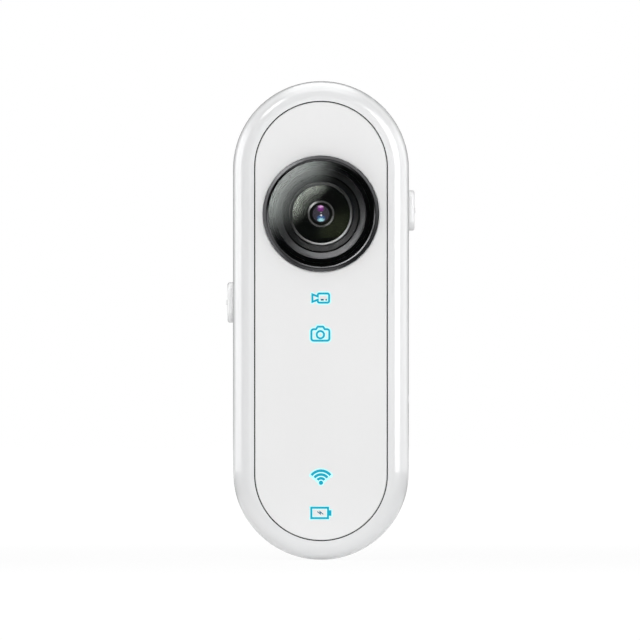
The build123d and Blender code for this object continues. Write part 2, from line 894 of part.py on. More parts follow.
def make_switch(side, z):
    """Side-push switch on the rear of the main board, hollow where its plunger slides."""
    body = side_block(side, z, button_depth, switch_length, switch_height, switch_face, switch_body)
    room = plunger_in + button_travel + plunger_fit
    return body - side_block(side, z, button_depth, plunger_length + 2 * plunger_fit,
                             plunger_thickness + 2 * plunger_fit, switch_face, room)


def make_plunger(side, z):
    """Plunger between a button's pad and the inside of its switch."""
    return side_block(side, z, button_depth, plunger_length, plunger_thickness,
                      pad_tip, plunger_out + plunger_in)


def make_main_board():
    """Main circuit board: round below, with an arm past the lens for the right-hand switch."""
    plate = pill(2 * board_half, bottom_arc_z, top_arc_z, board_back, board_front)
    plate -= block(0, board_top_z + body_height / 2, body_width, body_height, board_back, board_front)
    arm_top_z = lens_z + arm_above_lens
    plate += block(board_half - arm_width / 2, (board_top_z + arm_top_z) / 2, arm_width,
                   arm_top_z - board_top_z, board_back, board_front)
    for x, z in case_posts():
        plate -= rod(x, z, post_radius + board_notch_gap, board_back, board_front)
    for x, z in board_posts():
        plate -= rod(x, z, small_screw_radius + 2 * screw_fit, board_back, board_front)
    notch = flange_back + button_travel + board_notch_gap
    for _, side, z in buttons():
        plate -= side_block(side, z, board_back + board_thickness / 2,
                            button_length + 2 * (flange_margin + board_notch_gap), board_thickness, 0, notch)
    plate -= side_block(1, port_z, board_back + board_thickness / 2,
                        door_length + 2 * (port_pad_margin + board_notch_gap), board_thickness,
                        0, port_pad_face + board_notch_gap)
    return plate


def make_board_screws():
    """Three small screws that hold the main board to its posts."""
    return [screw(x, z, board_back - small_head_height, small_screw_radius, small_screw_length,
                  small_head_radius, small_head_height)
            for x, z in board_posts()]


def make_shield_can():
    """Thin metal can over the processor, open towards the board."""
    z = bottom_arc_z + can_above_arc
    can = block(can_x, z, can_width, can_height, board_back - can_rise, board_back)
    can = fillet(can.edges().filter_by(Axis.Y), can_corner)
    return can - block(can_x, z, can_width - 2 * can_skin, can_height - 2 * can_skin,
                       board_back - can_rise + can_skin, board_back)


def make_processor():
    """Processor chip inside the shield can."""
    return block(can_x, bottom_arc_z + can_above_arc, chip_side, chip_side,
                 board_back - chip_thickness, board_back)


def make_indicator_leds():
    """Four lamps on the front of the main board, one behind each icon."""
    return [block(0, z, led_width, led_height, board_front, board_front + led_thickness)
            for _, z, _, _ in icons()]


def make_light_guide(z, width, height):
    """Clear guide from a lamp to the back of the panel, with a flange behind the front wall."""
    guide = block(0, z, width, height, board_front + led_thickness + guide_led_gap, panel_back)
    return guide + block(0, z, width + 2 * guide_flange, height + 2 * guide_flange,
                         front_inner - guide_flange_thickness, front_inner)


def make_microphone():
    """Microphone at the lower end of the main board."""
    return block(0, microphone_low_z + microphone_height / 2, microphone_width, microphone_height,
                 board_back - microphone_thickness, board_back)


def microphone_bore(radius, low, high):
    """Upright bar on the microphone's hole, between two heights."""
    return Pos(0, -microphone_depth, (low + high) / 2) * Cylinder(radius, high - low)


def make_microphone_boot():
    """Rubber tube from the microphone to its hole in the lower end."""
    boot = microphone_bore(microphone_boot_radius, bottom_z, microphone_low_z) & inner_form()
    return boot - microphone_bore(microphone_hole_radius, bottom_z, microphone_low_z)


def make_battery():
    """Flat pouch cell with rounded long edges."""
    middle = (battery_low_z + battery_high_z) / 2
    cell = block(0, middle, battery_width, battery_high_z - battery_low_z, battery_back, battery_front)
    return fillet(cell.edges().filter_by(Axis.Z), battery_corner)


def make_battery_foam():
    """Foam pad between the battery and the rear cover."""
    middle = (battery_low_z + battery_high_z) / 2
    return block(0, middle, battery_width - 2 * foam_inset, battery_high_z - battery_low_z - 2 * foam_inset,
                 rear_wall, battery_back)


def make_battery_leads():
    """Two leads from the battery's upper end, over and down into their plug."""
    start = battery_front - lead_from_face
    end = board_back - plug_rise / 2
    top_z = battery_high_z + lead_bow
    leads = []
    for side in (-1, 1):
        line = FilletPolyline((start, battery_high_z), (start, top_z), (end, top_z), (end, plug_top_z),
                              radius=lead_bend)
        path = flat_path(lead_x + side * lead_spacing / 2) * line
        section = Plane(origin=path @ 0, z_dir=path % 0) * RegularPolygon(lead_radius, lead_sides)
        leads.append(sweep(section, path))
    return leads


def make_battery_plug():
    """Plug that the leads end in, on the rear of the main board."""
    return block(lead_x, plug_top_z - plug_height / 2, plug_width, plug_height,
                 board_back - plug_rise, board_back)


def make_speaker():
    """Small loudspeaker in its ring, with a narrower magnet in front."""
    back = rear_wall + mesh_thickness
    frame = rod(0, speaker_z, speaker_radius, back, back + speaker_frame_height)
    return frame + rod(0, speaker_z, speaker_magnet_radius, back, back + speaker_height)


def make_speaker_mesh():
    """Fine mesh disc over the sound holes."""
    return rod(0, speaker_z, mesh_radius, rear_wall, rear_wall + mesh_thickness)


def make_wireless_antenna():
    """Thin antenna on the left inner wall, cut into a meander."""
    z = bottom_arc_z + antenna_above_arc
    depth = board_back - antenna_width / 2 - board_edge_gap
    strip = side_block(-1, z, depth, antenna_length, antenna_width, side_wall, antenna_thickness)
    for i in range(antenna_slots):
        place = z + antenna_length * ((i + 1) / (antenna_slots + 1) - 1 / 2)
        shift = antenna_track if i % 2 else -antenna_track
        strip -= side_block(-1, place, depth + shift, antenna_slot_width, antenna_width,
                            side_wall, antenna_thickness)
    return strip


def make_charging_socket():
    """Charging socket: a round-ended metal shell, closed behind, with a flat tongue."""
    mouth = port_pad_face + socket_gap
    shell = side_slot(1, port_z, socket_depth, socket_width, socket_height, mouth, socket_length)
    room = socket_length - socket_back
    shell -= side_slot(1, port_z, socket_depth, socket_width - 2 * socket_skin,
                       socket_height - 2 * socket_skin, mouth, room)
    return shell + side_block(1, port_z, socket_depth, tongue_width, tongue_thickness,
                              mouth + room - tongue_length, tongue_length)


def make_card_socket():
    """Flat metal socket on the front of the main board, open towards the port."""
    mouth = port_pad_face + socket_gap
    reach = card_outer + card_length + card_press + card_back_room - mouth
    shell = side_block(1, port_z, card_depth, card_socket_width, card_socket_height, mouth,
                       reach + card_socket_skin)
    return shell - side_block(1, port_z, card_depth, card_width + 2 * card_slot_fit,
                              card_socket_height - 2 * card_socket_skin, mouth, reach)


def make_memory_card():
    """Memory card with its notched edge, home in its socket."""
    face = RectangleRounded(card_length, card_width, card_corner)
    face -= Pos(-card_length / 2, card_width / 2) * Rectangle(2 * card_notch_length, 2 * card_notch)
    middle = (half_width - card_outer - card_length / 2, -card_depth + card_thickness / 2, port_z)
    place = Plane(origin=middle, x_dir=(1, 0, 0), z_dir=(0, -1, 0))
    return extrude(place * face, card_thickness)


def door_plate(grow, back_reach, inward, reach):
    """Plate of the door's outline on the right wall, with its front corners rounded."""
    low = hinge_depth - back_reach
    high = hinge_depth + door_reach + grow
    face = Rectangle(door_length + 2 * grow, high - low)
    face = fillet(face.vertices().group_by(Axis.Y)[-1], door_corner + grow)
    return extrude(side_level(1, port_z, (low + high) / 2, inward + reach) * face, reach)


def make_port_door():
    """Door over both ports: flush with the wall, with a rounded hinge edge and a bore."""
    door = door_plate(0, 0, 0, door_thickness)
    knuckle_radius = door_thickness / 2
    door += Pos(half_width - knuckle_radius, -hinge_depth, port_z) * Cylinder(knuckle_radius, door_length)
    return door - hinge_bar(hinge_pin_radius + hinge_pin_fit, hinge_pin_reach)


def make_port_seal():
    """Rubber plugs on the inside of the door, one for each port."""
    reach = door_floor_gap + plug_seal_depth
    plug = side_slot(1, port_z, socket_depth, socket_mouth_width - 2 * plug_seal_fit,
                     socket_mouth_height - 2 * plug_seal_fit, door_thickness, reach)
    rib = side_block(1, port_z, card_depth, card_width, card_thickness,
                     door_thickness, door_floor_gap + card_rib_depth)
    skin = side_block(1, port_z, (socket_depth + card_depth) / 2, socket_width / 2,
                      card_depth - socket_depth, door_thickness, door_floor_gap / 2)
    return plug + rib + skin


def rear_level(x):
    """Plane for side views of the clip: local X rearward, local Y up, facing right."""
    return Plane(origin=(x, 0, 0), x_dir=(0, 1, 0), z_dir=(1, 0, 0))


def clip_screw_heights():
    """Heights of the two screws that hold the bracket."""
    return [pivot_height - clip_screw_offset, pivot_height + clip_screw_offset]


def clip_screw_end():
    """Depth that the clip screws reach."""
    return clip_head_sink - bracket_thickness + clip_head_height + clip_screw_length


def ear_outline():
    """Ear seen from the side: a round head on a foot that widens tangentially."""
    foot_y = bracket_thickness / 2 - pivot_y
    reach = hypot(ear_foot, foot_y)
    turn = atan2(foot_y, ear_foot) + acos(ear_radius / reach)
    touch_z = ear_radius * cos(turn)
    touch_y = ear_radius * sin(turn)
    foot = outline((foot_y, -ear_foot), (foot_y, ear_foot), (touch_y, touch_z), (touch_y, -touch_z))
    return Pos(pivot_y, pivot_height) * (foot + Circle(ear_radius))


def make_clip_bracket():
    """Bracket screwed to the rear cover, with two ears that carry the clip's pin."""
    plate = extrude(level(-bracket_thickness, 0, pivot_height)
                    * RectangleRounded(bracket_width, bracket_height, bracket_corner), bracket_thickness)
    for side in (-1, 1):
        inner = side * (bracket_width / 2 - ear_thickness / 2) - ear_thickness / 2
        plate += extrude(rear_level(inner) * ear_outline(), ear_thickness)
    plate -= pivot_bar(pin_radius + pin_press_gap, bracket_width)
    for z in clip_screw_heights():
        plate -= rod(0, z, clip_screw_radius + screw_fit, -bracket_thickness - overrun, overrun)
        plate -= rod(0, z, clip_head_radius + head_fit, -bracket_thickness - overrun,
                     clip_head_sink - bracket_thickness + clip_head_height)
    return plate


def pivot_bar(radius, length):
    """Bar on the clip's pivot axis."""
    return extrude(rear_level(-length / 2) * (Pos(pivot_y, pivot_height) * Circle(radius)), length)


def make_clip_screws():
    """Two screws through the bracket into the rear cover's bosses."""
    return [screw(0, z, clip_head_sink - bracket_thickness, clip_screw_radius, clip_screw_length,
                  clip_head_radius, clip_head_height)
            for z in clip_screw_heights()]


def make_clip_pin():
    """Steel pin with a head at each end."""
    pin = pivot_bar(pin_radius, bracket_width)
    for side in (-1, 1):
        start = side * (bracket_width + pin_head_height) / 2 - pin_head_height / 2
        head = rear_level(start) * (Pos(pivot_y, pivot_height) * Circle(pin_head_radius))
        pin += extrude(head, pin_head_height)
    return pin


def lever_profile():
    """Lever seen from the side: thumb tab, crown over the pivot, jaw, nose and lead-in tip."""
    tab_z = pivot_height + tab_length
    crown_z = pivot_height + crown_length
    drop_z = pivot_height - crown_length
    jaw_z = drop_z - jaw_drop_length
    nose_z = nose_flat / 2
    nose_y = nose_gap + pad_proud
    tip_z = -nose_z - tip_length
    tip_y = nose_y + tip_rise
    under = FilletPolyline(
        (lever_under + tab_rise, tab_z), (lever_under, crown_z), (lever_under, drop_z), (jaw_gap, jaw_z),
        (jaw_gap, nose_z + nose_rise), (nose_y, nose_z), (nose_y, -nose_z), (tip_y, tip_z), radius=lever_bend)
    thick = lever_thickness
    outer = FilletPolyline(
        (tip_y + tip_thickness, tip_z), (nose_y + nose_thickness, -nose_z), (nose_y + nose_thickness, nose_z),
        (jaw_gap + thick, nose_z + nose_rise), (jaw_gap + thick, jaw_z), (lever_under + thick, drop_z),
        (lever_under + thick, crown_z), (lever_under + tab_rise + thick, tab_z), radius=lever_bend)
    ends = [Line(under @ 1, outer @ 0), Line(outer @ 1, under @ 0)]
    return make_face([*under.edges(), ends[0], *outer.edges(), ends[1]])


def lever_plan():
    """Lever seen from behind: full width at the tab, narrowing to the nose, with round corners."""
    tab_z = pivot_height + tab_length
    tip_z = -nose_flat / 2 - tip_length
    wide = lever_width / 2
    narrow = lever_nose_width / 2
    drop_z = pivot_height - crown_length
    face = outline((-wide, tab_z), (wide, tab_z), (wide, drop_z), (narrow, nose_flat / 2 + nose_rise),
                   (narrow, tip_z), (-narrow, tip_z), (-narrow, nose_flat / 2 + nose_rise), (-wide, drop_z))
    return fillet(face.vertices(), lever_end_round)


def make_clip_lever():
    """Sprung lever: knuckles on the pin, ribs on the thumb tab, a seat for the pad at the nose."""
    lever = extrude(rear_level(-lever_width / 2) * lever_profile(), lever_width)
    plan = extrude(level(-body_depth) * lever_plan(), body_depth)
    lever = lever & plan
    outer = [face.edges() for face in lever.faces() if face.normal_at().Y > cos(radians(lever_steep))]
    joined = [edge for edges in outer for edge in edges]
    rim = [edge for edge in joined if sum(edge.is_same(other) for other in joined) == 1]
    lever = fillet(rim, lever_edge_round)
    knuckle_out = bracket_width / 2 - ear_thickness - knuckle_gap
    rise = lever_under + lever_thickness / 2 - pivot_y
    shape = Circle(ear_radius) + Pos(rise / 2, 0) * Rectangle(rise, 2 * ear_radius)
    for side in (-1, 1):
        start = side * (knuckle_out - knuckle_width / 2) - knuckle_width / 2
        lever += extrude(rear_level(start) * (Pos(pivot_y, pivot_height) * shape), knuckle_width)
    lever -= pivot_bar(pin_radius + pin_fit, 2 * knuckle_out)
    rib_length = lever_width - 2 * rib_margin
    tab_slope = tab_rise / (tab_length - crown_length)
    for i in range(rib_count):
        along = tab_length - rib_margin - i * rib_pitch
        y = lever_under + lever_thickness + (along - crown_length) * tab_slope
        rib = Pos(y, pivot_height + along) * Circle(rib_radius)
        lever += extrude(rear_level(-rib_length / 2) * rib, rib_length)
    return lever - pad_block()


def pad_block():
    """Block that the clip's pad fills, and that the nose is recessed for."""
    return block(0, 0, pad_width, pad_height, -nose_gap - pad_thickness, -nose_gap)


def make_clip_pad():
    """Rubber pad in the nose, with two grip grooves."""
    pad = pad_block()
    for side in (-1, 1):
        pad -= block(0, side * pad_height / 4, pad_width, pad_groove, -nose_gap - pad_groove, -nose_gap)
    return pad


def spring_point(turn):
    """Point on the spring's centre line after an angle in radians."""
    x = spring_pitch * (turn / (2 * pi) - spring_half_turns / 4)
    return Vector(x, pivot_y - spring_coil_radius * cos(turn), pivot_height - spring_coil_radius * sin(turn))


def spring_tangent(turn):
    """Direction of the spring's centre line after an angle in radians."""
    lead = spring_pitch / (2 * pi)
    return Vector(lead, spring_coil_radius * sin(turn), -spring_coil_radius * cos(turn)).normalized()


def biarc(start, end, start_way, end_way):
    """Two arcs that join two points and keep the direction at both."""
    span = end - start
    ways = start_way + end_way
    bend = 2 * (1 - start_way.dot(end_way))
    reach = (sqrt(span.dot(ways) ** 2 + bend * span.dot(span)) - span.dot(ways)) / bend
    first = start + start_way * reach
    second = end - end_way * reach
    joint = (first + second) * 0.5
    return [TangentArc(start, joint, tangent=start_way), TangentArc(joint, end, tangent=second - first)]


def make_clip_spring():
    """Torsion spring round the pin, with one leg on the bracket and one under the thumb tab."""
    last = spring_half_turns * pi
    edges = [Line(spring_point(0) - spring_tangent(0) * spring_leg, spring_point(0))]
    for i in range(spring_half_turns):
        start, end = i * pi, (i + 1) * pi
        edges += biarc(spring_point(start), spring_point(end), spring_tangent(start), spring_tangent(end))
    edges.append(Line(spring_point(last), spring_point(last) + spring_tangent(last) * spring_leg))
    path = Wire(edges)
    section = Plane(origin=path @ 0, z_dir=path % 0) * RegularPolygon(spring_wire_radius, spring_wire_sides)
    return sweep(section, path)


def spring_gap():
    """Least gap of the spring's wire to itself, measured on points more than half a turn apart."""
    steps = 24
    points = [spring_point(i * pi / steps) for i in range(spring_half_turns * steps + 1)]
    apart = [(a - b).length for i, a in enumerate(points) for b in points[i + steps:]]
    return min(apart) - 2 * spring_wire_radius


def assembly():
    """Every piece by its name."""
    nodes = {
        "front_housing": make_front_housing(),
        "rear_cover": make_rear_cover(),
        "front_panel": make_front_panel(),
        "panel_tape": make_panel_tape(),
        "housing_gasket": gasket_ring(),
        "case_screws": make_case_screws(),
        "lens_bezel": make_lens_bezel(),
        "cover_glass": make_cover_glass(),
        "bezel_seal": make_bezel_seal(),
        "lens_hood": make_lens_hood(),
        "lens_barrel": make_lens_barrel(),
        "front_lens": make_front_lens(),
        "throat_ring": make_throat_ring(),
        "middle_lens": make_middle_lens(),
        "rear_lens": make_rear_lens(),
        "lens_holder": make_lens_holder(),
        "infrared_filter": make_infrared_filter(),
        "image_sensor": make_image_sensor(),
        "sensor_board": make_sensor_board(),
        "sensor_screws": make_sensor_screws(),
        "sensor_ribbon": make_sensor_ribbon(),
        "ribbon_plug": make_ribbon_plug(),
        "main_board": make_main_board(),
        "board_screws": make_board_screws(),
        "shield_can": make_shield_can(),
        "processor": make_processor(),
        "indicator_leds": make_indicator_leds(),
        "microphone": make_microphone(),
        "microphone_boot": make_microphone_boot(),
        "battery": make_battery(),
        "battery_foam": make_battery_foam(),
        "battery_leads": make_battery_leads(),
        "battery_plug": make_battery_plug(),
        "speaker": make_speaker(),
        "speaker_mesh": make_speaker_mesh(),
        "wireless_antenna": make_wireless_antenna(),
        "charging_socket": make_charging_socket(),
        "card_socket": make_card_socket(),
        "memory_card": make_memory_card(),
        "port_door": make_port_door(),
        "port_door_pin": hinge_bar(hinge_pin_radius, hinge_pin_reach),
        "port_seal": make_port_seal(),
        "clip_bracket": make_clip_bracket(),
        "clip_screws": make_clip_screws(),
        "clip_pin": make_clip_pin(),
        "clip_lever": make_clip_lever(),
        "clip_pad": make_clip_pad(),
        "clip_spring": make_clip_spring(),
    }
    for name, z, width, height in icons():
        nodes[name + "_light_guide"] = make_light_guide(z, width, height)
    for name, side, z in buttons():
        nodes[name + "_button"] = make_button(side, z)
        nodes[name + "_button_seal"] = make_button_seal(side, z)
        nodes[name + "_switch"] = make_switch(side, z)
        nodes[name + "_plunger"] = make_plunger(side, z)
    return nodes


os.makedirs("parts", exist_ok=True)
for node, shape in assembly().items():
    solids = shape if isinstance(shape, list) else [shape]
    solids = [solid for item in solids for solid in item.solids()]
    export_step(solids[0] if len(solids) == 1 else Compound(children=solids), f"parts/{node}.step")
print("least gap of the clip spring to itself:", round(spring_gap(), 3), "mm")
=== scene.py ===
import math

import bmesh
import bpy
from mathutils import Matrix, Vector
from mathutils.geometry import delaunay_2d_cdt


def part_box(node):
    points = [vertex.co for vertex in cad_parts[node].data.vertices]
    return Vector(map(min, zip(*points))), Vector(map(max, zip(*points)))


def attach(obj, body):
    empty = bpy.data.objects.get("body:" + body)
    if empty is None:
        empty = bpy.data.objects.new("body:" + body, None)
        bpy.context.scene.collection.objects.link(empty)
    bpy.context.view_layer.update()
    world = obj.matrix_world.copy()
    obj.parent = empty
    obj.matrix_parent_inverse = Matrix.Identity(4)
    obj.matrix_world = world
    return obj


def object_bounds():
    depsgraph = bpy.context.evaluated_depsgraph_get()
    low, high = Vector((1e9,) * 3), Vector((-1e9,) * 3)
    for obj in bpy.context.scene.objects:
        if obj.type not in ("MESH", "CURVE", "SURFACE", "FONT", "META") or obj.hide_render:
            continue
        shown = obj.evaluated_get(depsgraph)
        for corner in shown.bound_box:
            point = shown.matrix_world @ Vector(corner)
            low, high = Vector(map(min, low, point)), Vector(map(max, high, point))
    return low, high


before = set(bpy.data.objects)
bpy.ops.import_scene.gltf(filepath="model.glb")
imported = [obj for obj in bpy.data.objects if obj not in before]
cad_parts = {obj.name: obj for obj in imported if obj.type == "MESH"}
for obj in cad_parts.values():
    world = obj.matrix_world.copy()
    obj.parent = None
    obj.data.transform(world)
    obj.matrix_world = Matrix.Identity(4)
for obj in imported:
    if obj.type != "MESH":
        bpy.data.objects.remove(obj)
cad_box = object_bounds()
MM = 0.001

# The rear cover is a moulded white shell with a high gloss. Its rear edge is well rounded, and it
# carries the screw posts, the sound holes and the clip. The gasket lies in a groove in its front edge.


def start_finish(name):
    """New material: the material, its shader, its tree and a place in the object's own metres."""
    material = bpy.data.materials.new(name)
    material.use_nodes = True
    tree = material.node_tree
    where = tree.nodes.new("ShaderNodeTexCoord")
    return material, tree.nodes["Principled BSDF"], tree, where.outputs["Object"]


def grain(tree, where, size, detail=3.0):
    """Cloudy pattern whose patches are about that large, from 0 to 1."""
    noise = tree.nodes.new("ShaderNodeTexNoise")
    noise.inputs["Scale"].default_value = 1 / size
    noise.inputs["Detail"].default_value = detail
    tree.links.new(where, noise.inputs["Vector"])
    return noise.outputs["Fac"]


def spread(tree, pattern, low, high):
    """A pattern stretched between two values."""
    ranger = tree.nodes.new("ShaderNodeMapRange")
    ranger.inputs["From Min"].default_value = 0.3
    ranger.inputs["From Max"].default_value = 0.7
    ranger.inputs["To Min"].default_value = low
    ranger.inputs["To Max"].default_value = high
    tree.links.new(pattern, ranger.inputs["Value"])
    return ranger.outputs["Result"]


def tint(tree, pattern, dark, light):
    """A pattern turned into a colour between two."""
    ramp = tree.nodes.new("ShaderNodeValToRGB")
    ramp.color_ramp.elements[0].position = 0.3
    ramp.color_ramp.elements[1].position = 0.7
    ramp.color_ramp.elements[0].color = (*dark, 1)
    ramp.color_ramp.elements[1].color = (*light, 1)
    tree.links.new(pattern, ramp.inputs["Fac"])
    return ramp.outputs["Color"]


def roughen(tree, shader, pattern, height):
    """Fine relief from a pattern, of that height."""
    bump = tree.nodes.new("ShaderNodeBump")
    bump.inputs["Distance"].default_value = height
    bump.inputs["Strength"].default_value = 1.0
    tree.links.new(pattern, bump.inputs["Height"])
    tree.links.new(bump.outputs["Normal"], shader.inputs["Normal"])


def shade(colour, share):
    """A colour made darker or lighter."""
    return tuple(min(1.0, part * share) for part in colour)


def moulded(name, colour, roughness, coat=0.0, patch=14 * MM, peel=0.5 * MM, height=0.0004 * MM):
    """Moulded plastic: slight clouds in colour and gloss, and a faint peel in the surface."""
    material, shader, tree, where = start_finish(name)
    clouds = grain(tree, where, patch, detail=0.0)
    paint = tint(tree, clouds, shade(colour, 0.992), shade(colour, 1.008))
    tree.links.new(paint, shader.inputs["Base Color"])
    tree.links.new(spread(tree, clouds, roughness * 0.93, roughness * 1.07), shader.inputs["Roughness"])
    roughen(tree, shader, grain(tree, where, peel), height)
    shader.inputs["Coat Weight"].default_value = coat
    shader.inputs["Coat Roughness"].default_value = 0.05
    return material


def dress(material, *names):
    """Gives a finish to carried-over nodes."""
    for name in names:
        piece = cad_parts[name]
        if not piece.material_slots:
            piece.data.materials.append(material)
        for place in piece.material_slots:
            place.material = material


shell_white = (0.82, 0.825, 0.83)
glossy_shell = moulded("glossy_white_shell", shell_white, roughness=0.2, coat=0.5)
dress(glossy_shell, "rear_cover")

gasket_grey = (0.16, 0.165, 0.17)
dress(moulded("gasket_rubber", gasket_grey, roughness=0.75, height=0.004 * MM), "housing_gasket")

# The case screws and the small screws inside are pan-head steel screws with a cross drive, turned
# and zinc plated, so they are a little brushed.


def metal(name, colour, roughness, streak=0.15 * MM, height=0.0008 * MM):
    """Bare metal with fine streaks from its making."""
    material, shader, tree, where = start_finish(name)
    streaks = grain(tree, where, streak, detail=5.0)
    tree.links.new(tint(tree, streaks, shade(colour, 0.82), colour), shader.inputs["Base Color"])
    tree.links.new(spread(tree, streaks, roughness * 0.7, roughness * 1.4), shader.inputs["Roughness"])
    roughen(tree, shader, streaks, height)
    shader.inputs["Metallic"].default_value = 1.0
    return material


plated_steel = metal("plated_steel", (0.56, 0.57, 0.58), roughness=0.3)
dress(plated_steel, "case_screws", "sensor_screws", "board_screws", "clip_screws")

# The battery is a pouch cell in dull aluminium foil. It lies on a foam pad, and its two sheathed
# leads end in a small moulded plug.

foil_colour = (0.6, 0.61, 0.63)
dress(metal("pouch_foil", foil_colour, roughness=0.42, streak=1.2 * MM, height=0.02 * MM), "battery")
foam_colour = (0.045, 0.045, 0.05)
dress(moulded("soft_foam", foam_colour, roughness=0.95, peel=0.25 * MM, height=0.06 * MM), "battery_foam")
dress(moulded("lead_sheath", (0.42, 0.03, 0.025), roughness=0.45, height=0.003 * MM), "battery_leads")
plug_plastic = moulded("plug_plastic", (0.78, 0.75, 0.66), roughness=0.4, height=0.002 * MM)
dress(plug_plastic, "battery_plug", "ribbon_plug", "left_plunger", "right_plunger")

# The circuit boards are woven glass under a green solder mask. Fine copper tracks show through the
# mask as slightly lighter lines.


def solder_mask(name, mask, track):
    """Green mask over a grid of fine tracks, broken up by patches."""
    material, shader, tree, where = start_finish(name)
    tracks = tree.nodes.new("ShaderNodeTexBrick")
    tracks.inputs["Scale"].default_value = 1 / (2.4 * MM)
    tracks.inputs["Mortar Size"].default_value = 0.06
    tracks.inputs["Color1"].default_value = (*mask, 1)
    tracks.inputs["Color2"].default_value = (*shade(mask, 0.8), 1)
    tracks.inputs["Mortar"].default_value = (*track, 1)
    turn = tree.nodes.new("ShaderNodeMapping")
    turn.inputs["Rotation"].default_value = (math.pi / 2, 0, 0)
    tree.links.new(where, turn.inputs["Vector"])
    tree.links.new(turn.outputs["Vector"], tracks.inputs["Vector"])
    tree.links.new(tracks.outputs["Color"], shader.inputs["Base Color"])
    tree.links.new(spread(tree, grain(tree, where, 0.8 * MM), 0.28, 0.4), shader.inputs["Roughness"])
    roughen(tree, shader, tracks.outputs["Fac"], 0.02 * MM)
    return material


dress(solder_mask("green_solder_mask", (0.012, 0.11, 0.06), (0.05, 0.24, 0.11)), "main_board", "sensor_board")

# Chips, switches and the loudspeaker are moulded in matt black epoxy. The shield can, the sockets
# and the microphone's lid are pressed from tinned steel sheet.

black_epoxy = moulded("black_epoxy", (0.022, 0.022, 0.024), roughness=0.6, peel=0.12 * MM, height=0.004 * MM)
dress(black_epoxy, "processor", "left_switch", "right_switch", "speaker", "lens_holder", "memory_card")
tinned_sheet = metal("tinned_sheet", (0.66, 0.66, 0.65), roughness=0.26, streak=0.5 * MM)
dress(tinned_sheet, "shield_can", "charging_socket", "card_socket", "microphone")
dress(moulded("boot_rubber", (0.03, 0.03, 0.032), roughness=0.8, height=0.005 * MM), "microphone_boot",
      "bezel_seal")

# The antenna and the sensor's ribbon are amber film with copper inside, and the loudspeaker's mesh
# is fine woven brass.

amber_film = moulded("amber_film", (0.42, 0.2, 0.05), roughness=0.35, peel=0.3 * MM, height=0.002 * MM)
dress(amber_film, "wireless_antenna", "sensor_ribbon")


def woven(name, colour, pitch):
    """Woven wire: two crossing waves of fine threads."""
    material, shader, tree, where = start_finish(name)
    checks = tree.nodes.new("ShaderNodeTexChecker")
    checks.inputs["Scale"].default_value = 1 / pitch
    checks.inputs["Color1"].default_value = (*colour, 1)
    checks.inputs["Color2"].default_value = (*shade(colour, 0.3), 1)
    tree.links.new(where, checks.inputs["Vector"])
    tree.links.new(checks.outputs["Color"], shader.inputs["Base Color"])
    roughen(tree, shader, checks.outputs["Fac"], 0.03 * MM)
    shader.inputs["Metallic"].default_value = 1.0
    shader.inputs["Roughness"].default_value = 0.4
    return material


dress(woven("speaker_weave", (0.5, 0.42, 0.26), pitch=0.12 * MM), "speaker_mesh")

# The lamps are cast in clear resin, and a moulded clear guide carries each one's light to the back
# of the panel.


def clear(name, colour, alpha, roughness):
    """Clear glass or resin: a thin tinted body with a polished face."""
    material, shader, tree, where = start_finish(name)
    haze = grain(tree, where, 3 * MM)
    tree.links.new(tint(tree, haze, shade(colour, 0.9), colour), shader.inputs["Base Color"])
    tree.links.new(spread(tree, haze, roughness, roughness * 1.3), shader.inputs["Roughness"])
    shader.inputs["Alpha"].default_value = alpha
    return material


dress(clear("guide_resin", (0.7, 0.8, 0.84), alpha=0.55, roughness=0.1), "video_light_guide",
      "photo_light_guide", "wireless_light_guide", "charge_light_guide")
dress(clear("lamp_resin", (0.75, 0.85, 0.9), alpha=0.85, roughness=0.2), "indicator_leds")

# The image sensor is a polished chip. The infrared filter and the rear lens in front of it are
# coated glass.

sensor_violet = (0.05, 0.035, 0.08)
dress(moulded("sensor_face", sensor_violet, roughness=0.12, coat=0.6, height=0.0004 * MM), "image_sensor")
dress(clear("filter_glass", (0.2, 0.5, 0.55), alpha=0.6, roughness=0.05), "infrared_filter")
dress(clear("rear_glass", (0.12, 0.05, 0.12), alpha=0.8, roughness=0.04), "rear_lens")

# The lens barrel is black anodised and turned, with a matt funnel behind the front lens.

turned_black = moulded("turned_black", (0.006, 0.006, 0.007), roughness=0.5, peel=0.2 * MM, height=0.001 * MM)
dress(turned_black, "lens_barrel")

# The middle lens is a small glass bead, painted with its reflections, which glow as light of its own:
# magenta above and cyan below as painted reflections on a grey and violet ground, with two bright specks
# between them as painted highlights.

lens_low, lens_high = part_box("lens_bezel")
lens_x = (lens_low.x + lens_high.x) / 2
lens_z = (lens_low.z + lens_high.z) / 2
bead_low, bead_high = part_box("middle_lens")
bead_radius = (bead_high.x - bead_low.x) / 2


def spot(tree, where, centre, radii, hardness):
    """Soft oval patch in the plane of the lens: 1 in the middle, 0 outside its radii."""
    place = tree.nodes.new("ShaderNodeVectorMath")
    place.operation = "SUBTRACT"
    place.inputs[1].default_value = (centre[0], 0, centre[1])
    tree.links.new(where, place.inputs[0])
    size = tree.nodes.new("ShaderNodeVectorMath")
    size.operation = "MULTIPLY"
    size.inputs[1].default_value = (1 / radii[0], 0, 1 / radii[1])
    tree.links.new(place.outputs["Vector"], size.inputs[0])
    far = tree.nodes.new("ShaderNodeVectorMath")
    far.operation = "LENGTH"
    tree.links.new(size.outputs["Vector"], far.inputs[0])
    fade = tree.nodes.new("ShaderNodeMapRange")
    fade.interpolation_type = "SMOOTHSTEP"
    fade.inputs["From Min"].default_value = hardness
    fade.inputs["From Max"].default_value = 1.0
    fade.inputs["To Min"].default_value = 1.0
    fade.inputs["To Max"].default_value = 0.0
    tree.links.new(far.outputs["Value"], fade.inputs["Value"])
    return fade.outputs["Result"]


